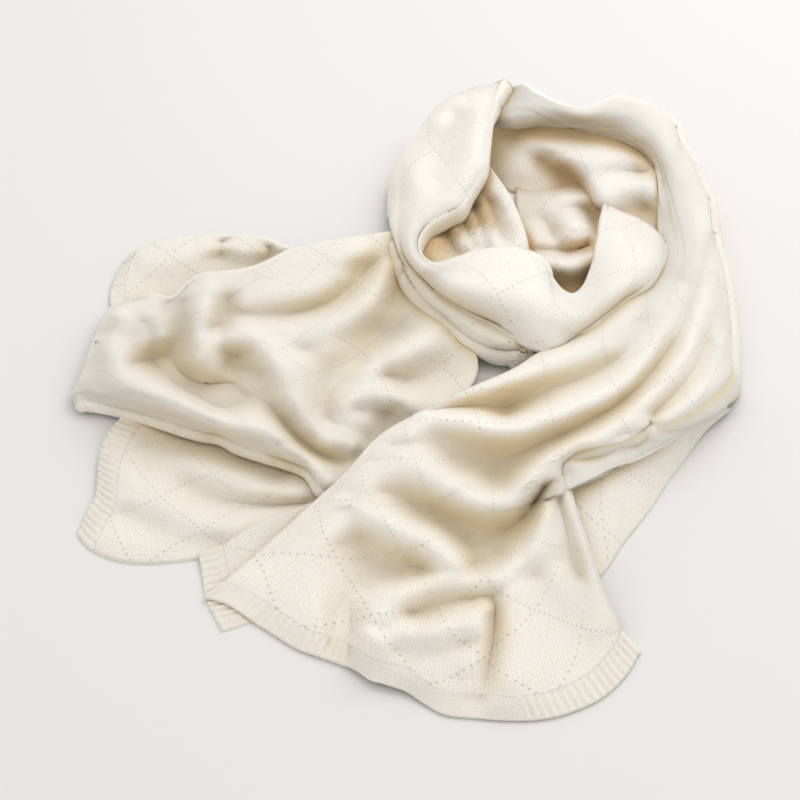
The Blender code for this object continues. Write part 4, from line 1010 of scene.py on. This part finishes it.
# %% Core
CRATER_CORE = {
    "back": (CUT_EDGE, (-52, 96, 30), (-20, 98, 28), (20, 98, 28), (44, 92, 34)),
    "front": (CUT_EDGE, (-46, -60, 34), (-20, -84, 28), (10, -92, 26), (34, -70, 30)),
    "start": (CUT_EDGE, (-52, 96, 30), (-52, 50, 32), (-52, 0, 34), (-46, -60, 34)),
    "end": (CUT_EDGE, (44, 92, 34), (44, 50, 38), (42, 0, 44), (34, -70, 30)),
    "folds": (
        # the small lobe at the left, and the knob beside it
        ((-35, 0, 42), (-30, 16, 44), (-23, 11, 43), (-19, -2, 41)),
        ((-4, 6, 46), (0, 25, 51), (9, 36, 53), (19, 30, 53), (23, 14, 50), (14, 3, 48)),
        ((7, 22, 54), (15, 19, 53)),
        # the dark hole between them, and the crease round the knob
        ((-20, 36, 29), (-18, 24, 29), (-17, 13, 32)),
        ((-10, 35, 38), (-2, 49, 38), (12, 57, 36), (23, 54, 32), (32, 40, 31), (34, 19, 38)),
        ((-41, -6, 37), (-29, -11, 37), (-16, -12, 36), (-2, -17, 37), (13, -11, 38), (26, -2, 40)),
        # the band behind the knob, and the floor behind it
        ((-17, 51, 36), (-7, 64, 41), (7, 73, 43), (23, 80, 44), (37, 75, 43)),
        ((-38, 60, 30), (-30, 91, 29), (0, 95, 29), (25, 98, 30)),
        # the roll in front of the knob, and the hollow in front of that
        ((-24, -22, 50), (-9, -28, 55), (7, -28, 56), (21, -19, 56), (31, 2, 55), (38, 30, 53)),
        ((-14, -43, 44), (1, -46, 44), (16, -36, 46)),
        ((-10, -64, 29), (-1, -72, 27), (9, -63, 28), (20, -48, 33)),
    ),
}
core = knit_sheet("core", CRATER_CORE, gain=0, material=KNIT_WITH_HOLLOW_SHADE)

# %% [markdown]
# ## The swirl: the back of the hollow
#
# The inner side of the last turn hangs down into the hollow, behind the core. It is crossed by a few long
# folds that run to the right and down.

# %% Hollow back
CRATER_BACK = {
    "back": (CUT_EDGE, (-84, 192, 60), (-50, 204, 64), (-20, 208, 64), (20, 204, 64), (60, 192, 63),
        (92, 172, 61), (112, 140, 58), (122, 110, 56)),
    "front": (CUT_EDGE, (-84, 110, 34), (-55, 83, 27), (-20, 80, 26), (15, 82, 26), (32, 67, 34),
        (44, 51, 47), (62, 25, 48), (84, -2, 48), (100, -11, 50), (114, -16, 52)),
    "start": (CUT_EDGE, (-84, 192, 60), (-86, 150, 46), (-84, 110, 34)),
    "end": (CUT_EDGE, (122, 110, 56), (122, 50, 54), (114, -12, 46)),
    "folds": (
        ((-38, 174, 57), (-5, 156, 61), (28, 157, 65), (60, 150, 67), (85, 135, 67), (102, 116, 65)),
        ((0, 141, 58), (18, 127, 59), (28, 113, 58), (33, 92, 56), (37, 68, 54)),
        ((-8, 132, 42), (8, 120, 40), (20, 102, 37), (26, 76, 35)),
        ((-62, 172, 51), (-30, 186, 56), (20, 182, 59), (60, 173, 59), (90, 150, 57), (106, 125, 55)),
        ((50, 66, 57), (62, 84, 62), (80, 98, 65), (95, 102, 66), (106, 86, 64), (113, 55, 60)),
        ((60, 50, 47), (80, 35, 45), (98, 25, 46), (92, 65, 49), (75, 62, 48)),
        ((45, 110, 61), (70, 118, 60), (95, 118, 61)),
        ((-72, 140, 44), (-60, 112, 38), (-42, 96, 31)),
        ((-45, 152, 50), (-38, 125, 42), (-30, 100, 33)),
        ((-20, 140, 42), (-8, 112, 34), (5, 95, 29)),
    ),
}
hollow_back = knit_sheet("hollow_back", CRATER_BACK, gain=0.3, material=KNIT_WITH_HOLLOW_SHADE)

# %% [markdown]
# ## The swirl: the narrow pleats in the hollow
#
# At the left of the hollow the cloth is pushed together, so it stands in narrow pleats. A ridge follows
# every centimetre and a half.

# %% Pleats
CRATER_PLEATS = {
    "back": (CUT_EDGE, (-102, 118, 52), (-92, 126, 57), (-80, 124, 62)),
    "front": (CUT_EDGE, (-152, -42, 40), (-120, -36, 40), (-80, -24, 42), (-42, -24, 42)),
    "start": (CUT_EDGE, (-102, 118, 52), (-112, 70, 46), (-140, 42, 42), (-163, 5, 40), (-152, -42, 40)),
    "end": ((3, 10), (-80, 124, 62), (-64, 90, 61), (-54, 60, 57), (-47, 30, 52), (-43, 0, 48),
        (-42, -24, 42)),
    "folds": (
        ((-76, 108, 63), (-66, 80, 61), (-58, 50, 57), (-52, 20, 52), (-49, -10, 48)),
        ((-132, 30, 36), (-124, 10, 35), (-114, -14, 34)),
        ((-121, 32, 44), (-114, 12, 45), (-106, -10, 45)),
        ((-110, 40, 38), (-104, 20, 37), (-98, -4, 36)),
        ((-104, 45, 45), (-98, 22, 46), (-92, -5, 46)),
        ((-97, 60, 40), (-92, 28, 39), (-86, -5, 38)),
        ((-88, 80, 52), (-84, 45, 49), (-79, -2, 47)),
        ((-84, 70, 47), (-78, 40, 43), (-72, 5, 41)),
        ((-150, 0, 42), (-142, 10, 44), (-135, -15, 43)),
    ),
}
pleats = knit_sheet("pleats", CRATER_PLEATS, gain=0.3, material=KNIT_WITH_HOLLOW_SHADE)

# %% [markdown]
# ## The front tail
#
# The largest stretch: it starts as the swirl's outer wall and rim, comes down in pleats and spreads out to
# its ribbed hem.

# %% Front tail
TAIL_FRONT = {
    # the hem, from its left corner to its right one
    "front": (CUT_EDGE, (-360, -478, 2), (-340, -485, 2), (-320, -500, 1), (-297, -517, 1), (-273, -535, 1),
        (-250, -545, 2), (-217, -560, 4), (-205, -570, 6), (-193, -574, 6), (-173, -582, 4),
        (-160, -593, 2), (-140, -607, 1), (-113, -611, 1), (-85, -613, 1), (-60, -613, 1), (-33, -607, 1),
        (0, -590, 1), (20, -570, 1), (30, -556, 1), (38, -541, 1)),
    # where the cloth goes under the swirl's left wall
    "back": (CUT_EDGE, (-96, 186, 48), (-94, 210, 54), (-84, 236, 62)),
    # the left selvedge, and then the edge that the swirl's collar covers
    "start": (CUT_EDGE, (-360, -478, 2), (-333, -447, 8), (-300, -408, 14), (-267, -367, 20),
        (-233, -324, 27), (-200, -277, 34), (-167, -250, 38), (-133, -227, 42), (-100, -207, 43),
        (-63, -185, 40), (-40, -165, 38), (-10, -140, 37), (20, -115, 38), (50, -80, 40), (80, -60, 43),
        (96, -29, 48), (100, 20, 51), (102, 70, 52), (100, 120, 54), (90, 150, 57), (60, 176, 60),
        (20, 190, 61), (-20, 197, 61), (-50, 191, 59), (-72, 186, 54), (-96, 186, 48)),
    # the right selvedge, the outer crest, and then the swirl's outer side and its back rim
    "end": ((6, 5), (38, -541, 1), (27, -523, 7), (20, -500, 14), (10, -473, 20), (3, -440, 26),
        (-3, -408, 31), (-10, -373, 36), (-15, -340, 40), (-15, -318, 42), (-5, -307, 44, 6, 5),
        (13, -302, 45, 6, 6), (43, -292, 46, 6, 7), (67, -280, 46, 6, 7), (93, -269, 46, 6, 8),
        (120, -252, 44, 7, 10), (150, -227, 40, 8, 20), (165, -201, 37, 10, 30), (172, -160, 37, 12, 37),
        (176, -111, 38, 13, 38), (176, -60, 40, 14, 40), (172, 0, 44, 15, 44), (169, 60, 50, 16, 50),
        (160, 110, 58, 18, 58), (148, 160, 68, 20, 68), (135, 205, 78, 22, 78), (111, 235, 88, 24, 88),
        (92, 246, 91, 26, 91), (75, 252, 92, 26, 92), (50, 241, 91, 26, 91), (30, 228, 90, 26, 90),
        (10, 234, 91, 26, 91), (-15, 252, 93, 26, 93), (-34, 271, 94, 22, 94), (-49, 264, 85, 13, 85),
        (-58, 253, 77, 8, 77), (-84, 235, 62, 4, 62)),
    "folds": (
        # the edge strip at the top and the trough behind pleat 2
        ((-164, -248, 42), (-129, -225, 44), (-78, -198, 47), (-31, -174, 49), (16, -147, 51),
         (51, -116, 53), (71, -96, 54)),
        ((-147, -243, 40), (-124, -240, 36), (-99, -243, 32), (-74, -252, 30), (-49, -240, 31),
         (-20, -221, 33), (13, -202, 36), (39, -181, 40), (58, -157, 47), (75, -132, 52), (85, -114, 57)),
        ((-108, -221, 41), (-68, -210, 40), (-27, -194, 42), (14, -174, 44), (47, -150, 48),
         (70, -116, 52)),
        # pleat 2
        ((-186, -275, 36), (-164, -259, 43), (-139, -251, 49), (-111, -252, 54), (-80, -263, 57),
         (-45, -255, 58), (-9, -240, 58), (27, -221, 57), (56, -194, 57), (77, -160, 58), (91, -128, 60),
         (104, -99, 62), (115, -72, 65)),
        ((-169, -275, 41), (-139, -270, 43), (-100, -280, 44), (-61, -280, 46), (-20, -259, 48),
         (16, -238, 49)),
        # the hollow between pleat 2 and the zigzag ridge, which runs on as a crease to the right
        ((-161, -282, 38), (-144, -296, 34), (-125, -315, 31), (-103, -333, 30), (-84, -345, 31),
         (-72, -338, 31), (-58, -317, 32), (-40, -294, 34), (-16, -277, 36), (10, -258, 38), (36, -236, 41),
         (61, -209, 44), (80, -181, 46), (97, -157, 48), (110, -134, 53), (124, -99, 58), (133, -66, 63)),
        # the zigzag ridge
        ((-206, -307, 27), (-186, -296, 34), (-167, -308, 39), (-145, -329, 43), (-121, -347, 45),
         (-97, -360, 47), (-80, -368, 48), (-66, -362, 48), (-51, -341, 49), (-35, -313, 50),
         (-14, -295, 51), (18, -275, 51), (50, -246, 53), (76, -216, 55), (97, -187, 57), (115, -155, 58),
         (129, -116, 60), (142, -75, 61), (150, -39, 61)),
        # the trough in front of the zigzag ridge
        ((-196, -350, 21), (-177, -367, 17), (-155, -379, 14), (-131, -390, 12), (-105, -400, 12),
         (-81, -396, 14), (-63, -379, 20), (-49, -358, 27), (-39, -338, 35)),
        ((-120, -411, 10), (-105, -423, 10), (-89, -418, 11)),
        # the S-shaped ridge, which ends as the top of the front panel
        ((-244, -364, 19), (-227, -363, 27), (-207, -374, 34), (-186, -388, 38), (-163, -400, 40),
         (-143, -414, 41), (-132, -427, 40), (-129, -441, 38), (-138, -454, 36), (-155, -461, 34),
         (-175, -470, 33), (-192, -480, 32), (-202, -493, 31), (-201, -508, 30), (-184, -514, 30),
         (-156, -512, 31), (-128, -507, 32), (-110, -497, 32), (-100, -489, 30)),
        # the hollow inside the S, and the one in front of it
        ((-215, -403, 13), (-194, -422, 11), (-174, -435, 12), (-156, -444, 17)),
        ((-235, -414, 11), (-227, -444, 6), (-216, -463, 5), (-199, -458, 8), (-177, -452, 12)),
        ((-227, -479, 5), (-222, -500, 4), (-221, -523, 3), (-223, -543, 1)),
        # the ridge behind the front panel
        ((-169, -494, 22), (-154, -482, 25), (-135, -470, 28), (-109, -459, 31), (-85, -450, 34),
         (-68, -438, 36), (-53, -411, 39), (-39, -375, 41)),
        ((-157, -499, 23), (-133, -489, 22), (-110, -480, 21)),
        ((-109, -439, 13), (-96, -435, 13), (-83, -426, 15)),
        # the front panel's face and its right edge
        ((-211, -516, 25), (-213, -534, 20), (-214, -549, 12)),
        ((-183, -536, 21), (-142, -536, 22), (-117, -527, 23)),
        ((-192, -561, 12), (-152, -571, 13), (-123, -569, 13)),
        ((-101, -493, 29), (-102, -519, 25), (-107, -549, 18), (-113, -580, 10)),
        # the gap between the two panels
        ((-91, -473, 24), (-92, -496, 18), (-95, -530, 14), (-100, -564, 8), (-105, -593, 2)),
        # the right panel: its left border, its soft stripes
        ((-14, -311, 45), (-29, -338, 41), (-40, -370, 38), (-54, -410, 36), (-69, -446, 33),
         (-79, -477, 30), (-84, -511, 25), (-88, -542, 19), (-95, -575, 12), (-101, -600, 6)),
        ((-75, -479, 28), (-70, -516, 24), (-63, -549, 17), (-52, -580, 8)),
        ((-53, -450, 25), (-45, -485, 18), (-35, -514, 12), (-6, -527, 7)),
        ((-36, -432, 27), (-26, -467, 20), (-14, -502, 13), (3, -525, 8)),
        ((-25, -358, 34), (-18, -408, 25), (-8, -450, 17)),
        # the flat corner panel and the soft ridge above it
        ((-183, -287, 33), (-198, -317, 30), (-215, -348, 26), (-231, -378, 22), (-247, -405, 18),
         (-267, -434, 14), (-285, -461, 10)),
        ((-225, -320, 26), (-241, -355, 20), (-255, -385, 15), (-273, -414, 12), (-300, -438, 9)),
        ((-244, -432, 12), (-248, -467, 10), (-250, -502, 7), (-249, -530, 3)),
        ((-302, -432, 9), (-297, -467, 8), (-289, -496, 5)),
        ((-328, -450, 8), (-322, -473, 5)),
        # the creases and pleats at the right, which climb the swirl's outer side
        ((47, -282, 42), (69, -259, 43), (89, -229, 45), (108, -201, 47), (124, -168, 49), (137, -128, 50),
         (147, -91, 52), (156, -54, 54)),
        ((36, -275, 48), (62, -262, 50), (88, -246, 51), (113, -227, 52), (131, -205, 52), (145, -174, 51),
         (153, -140, 50)),
        # the broad right wall and the rim
        ((118, -40, 68), (126, 20, 72), (128, 80, 76), (126, 130, 80), (120, 175, 85), (104, 215, 91)),
        ((150, -40, 60), (152, 40, 62), (146, 110, 68)),
        ((92, 232, 94), (60, 232, 93), (30, 218, 91), (0, 232, 92), (-25, 250, 93)),
        ((98, 170, 76), (70, 196, 78), (30, 208, 78), (-10, 212, 78), (-50, 208, 77)),
    ),
}
front_tail = knit_sheet("front_tail", TAIL_FRONT, hem="front", band=RIB_BAND, gain=1.0)
front_hem = ribbed_hem("front_hem", TAIL_FRONT, "front", "front_tail", plain=[(0.0, 0.12), (0.30, 0.72)])

# %% [markdown]
# ## The swirl: the collar
#
# The last turn of the swirl lies on all the others, as a soft lip all round the front of the hollow.

# %% Collar
SWIRL_COLLAR = {
    "back": ((4, 12), (-59, 271, 90, 3, 5), (-68, 241, 89, 3, 5), (-75, 200, 88, 3, 5), (-80, 150, 83),
        (-83, 121, 80), (-92, 98, 76), (-100, 80, 73), (-112, 51, 68), (-130, 35, 65), (-150, 17, 63),
        (-157, -2, 63), (-152, -22, 64), (-140, -29, 65), (-122, -23, 67), (-100, -12, 69), (-72, -6, 71),
        (-45, -9, 72), (-28, -19, 71), (-20, -36, 69), (-17, -55, 66), (-8, -72, 62), (3, -77, 60),
        (14, -66, 60), (22, -45, 61), (30, -16, 63), (36, 16, 63), (40, 40, 58), (46, 62, 52)),
    "front": ((3, 5), (-95, 264, 78, 20, 78), (-131, 241, 66, 18, 66), (-158, 188, 56, 16, 56),
        (-180, 140, 48, 14, 48), (-188, 90, 41, 13, 38), (-188, 51, 38, 10, 20), (-176, -16, 34),
        (-160, -52, 33), (-140, -82, 33), (-110, -108, 34), (-80, -127, 36), (-45, -155, 40),
        (-20, -163, 42), (0, -147, 44), (20, -128, 46), (40, -106, 49), (60, -85, 51), (78, -71, 54),
        (92, -51, 57), (103, -26, 58), (107, -2, 57)),
    "start": ((20, 80), (-59, 271, 90), (-78, 268, 85), (-95, 264, 78, 20, 78)),
    "end": (CUT_EDGE, (46, 62, 52), (62, 51, 50), (80, 40, 49), (96, 22, 51), (107, -2, 57)),
    "folds": (
        # the tall left wall of the swirl
        ((-112, 232, 84), (-118, 179, 72), (-128, 130, 62), (-138, 101, 57)),
        ((-140, 212, 70), (-155, 160, 63), (-163, 100, 58)),
        ((-83, 235, 95), (-88, 179, 91), (-95, 130, 85), (-111, 85, 76), (-139, 56, 68), (-165, 20, 61),
         (-170, -9, 58), (-159, -39, 60)),
        # the bright lip, and the roll in front of it
        ((-140, -45, 65), (-115, -45, 70), (-80, -39, 73), (-45, -46, 74), (-27, -74, 71), (-10, -94, 67),
         (10, -91, 65), (29, -71, 65), (44, -33, 67), (54, -2, 66)),
        ((-130, -75, 50), (-100, -90, 54), (-60, -108, 57), (-30, -122, 58), (0, -125, 56), (30, -100, 57),
         (60, -71, 59), (80, -48, 61)),
        ((60, 17, 60), (78, 3, 58), (90, -11, 58)),
    ),
}
collar = knit_sheet("collar", SWIRL_COLLAR, run="u", gain=0.3)

# %% [markdown]
# ## Shelter
#
# Light that reaches a deep fold has passed from yarn to yarn, and wool keeps the blue part of it at each
# step. So a sheltered place looks warmer and darker than an open one. This shade is painted into the yarn's
# colour, by how sheltered a place is. That can be measured: of the rays that leave it on its outer side,
# count those that meet the cloth again within nine centimetres.

# %% Shelter
RAYS = 64
REACH = 90.0  # millimetres
RAY_GAP = 1.5  # millimetres from the cloth to the start of a ray
MEASURED_STEP = 3  # every third point of a grid is measured, and the others are filled in between
GOLDEN_ANGLE = 2.39996  # radians: turned on by this each time, the rays spread evenly over the ball

turns = np.arange(RAYS) * GOLDEN_ANGLE
rises = 1 - (np.arange(RAYS) + 0.5) / RAYS * 2
reaches = np.sqrt(1 - rises**2)
fan = np.stack([np.cos(turns) * reaches, np.sin(turns) * reaches, rises], axis=1)
all_points, all_faces = [], []
for top in tops.values():
    all_faces += (quads(*top.shape[:2]) + len(all_points)).tolist()
    all_points += [Vector(point) for point in top.reshape(-1, 3)]
cloth = BVHTree.FromPolygons(all_points, all_faces)
for name, top in tops.items():
    outward = normals_of(top)[::MEASURED_STEP, ::MEASURED_STEP]
    starts = top[::MEASURED_STEP, ::MEASURED_STEP] + outward * RAY_GAP
    share = np.zeros(starts.shape[:2])
    for index in np.ndindex(share.shape):
        place, facing = Vector(starts[index]), fan @ outward[index]
        ways = fan * np.sign(facing)[:, None]
        met = [cloth.ray_cast(place, Vector(way), REACH)[0] is not None for way in ways]
        share[index] = (np.abs(facing) * met).sum() / np.abs(facing).sum()
    share = np.clip(resized(blurred(share, 1), *top.shape[:2]), 0, 1).ravel()
    # stored as the mask of the painted shade in the folds
    layer = pieces[name].data.attributes.new("shelter", "FLOAT", "POINT")
    layer.data.foreach_set("value", np.tile(share, 2).astype(np.float32))
    print(name, f"is sheltered by {share.mean():.2f} on the mean, and by {share.max():.2f} at most")

# %% [markdown]
# ## Tying the pieces to the frame
#
# Each piece stands for one of the solids, which is hidden now. The hem of the back flap has no solid of its
# own. The rounded solid inside the swirl stays, in the same knit, although the cloth covers it.

# %% Tie to the frame
TIES = (  # a sheet, its hem, the solid it stands for, its flat width and length in metres, what it lies on
    (back_flap, back_hem, "tail_left_back", (0.11, 0.23), ["table_top"]),
    (lower_flap, lower_hem, "tail_left_lower", (0.165, 0.21), ["table_top"]),
    (under_layer, under_hem, "tail_front_under", (0.08, 0.105), ["table_top"]),
    (billow, None, "tail_left_top", (0.34, 0.42), ["back_flap", "lower_flap"]),
    (flank, None, "tail_front_flank", (0.225, 0.065), ["table_top"]),
    (outer_band, None, "swirl_outer_band", (0.045, 0.26), ["billow"]),
    (core, None, "crater_core", (0.11, 0.20), ["heap_core"]),
    (hollow_back, None, "crater_back", (0.25, 0.115), ["heap_core"]),
    (pleats, None, "crater_pleats", (0.10, 0.145), ["heap_core"]),
    (front_tail, front_hem, "tail_front", (0.26, 1.00), ["heap_core", "billow"]),
    (collar, None, "swirl_collar", (0.12, 0.72), ["front_tail", "outer_band"]),
)


def tie(piece, nodes):
    """A piece replaces the solids it stands for and rides on the shawl."""
    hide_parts(*nodes)
    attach(piece, "root")


for sheet, hem, node, flat, rests_on in TIES:
    if hem:
        tie(hem, {f"{node}_ribs"} & set(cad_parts))
    tie(sheet, [node])
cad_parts["heap_core"].data.materials.clear()
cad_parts["heap_core"].data.materials.append(RIB)
print(len(pieces), "pieces tied to the frame")
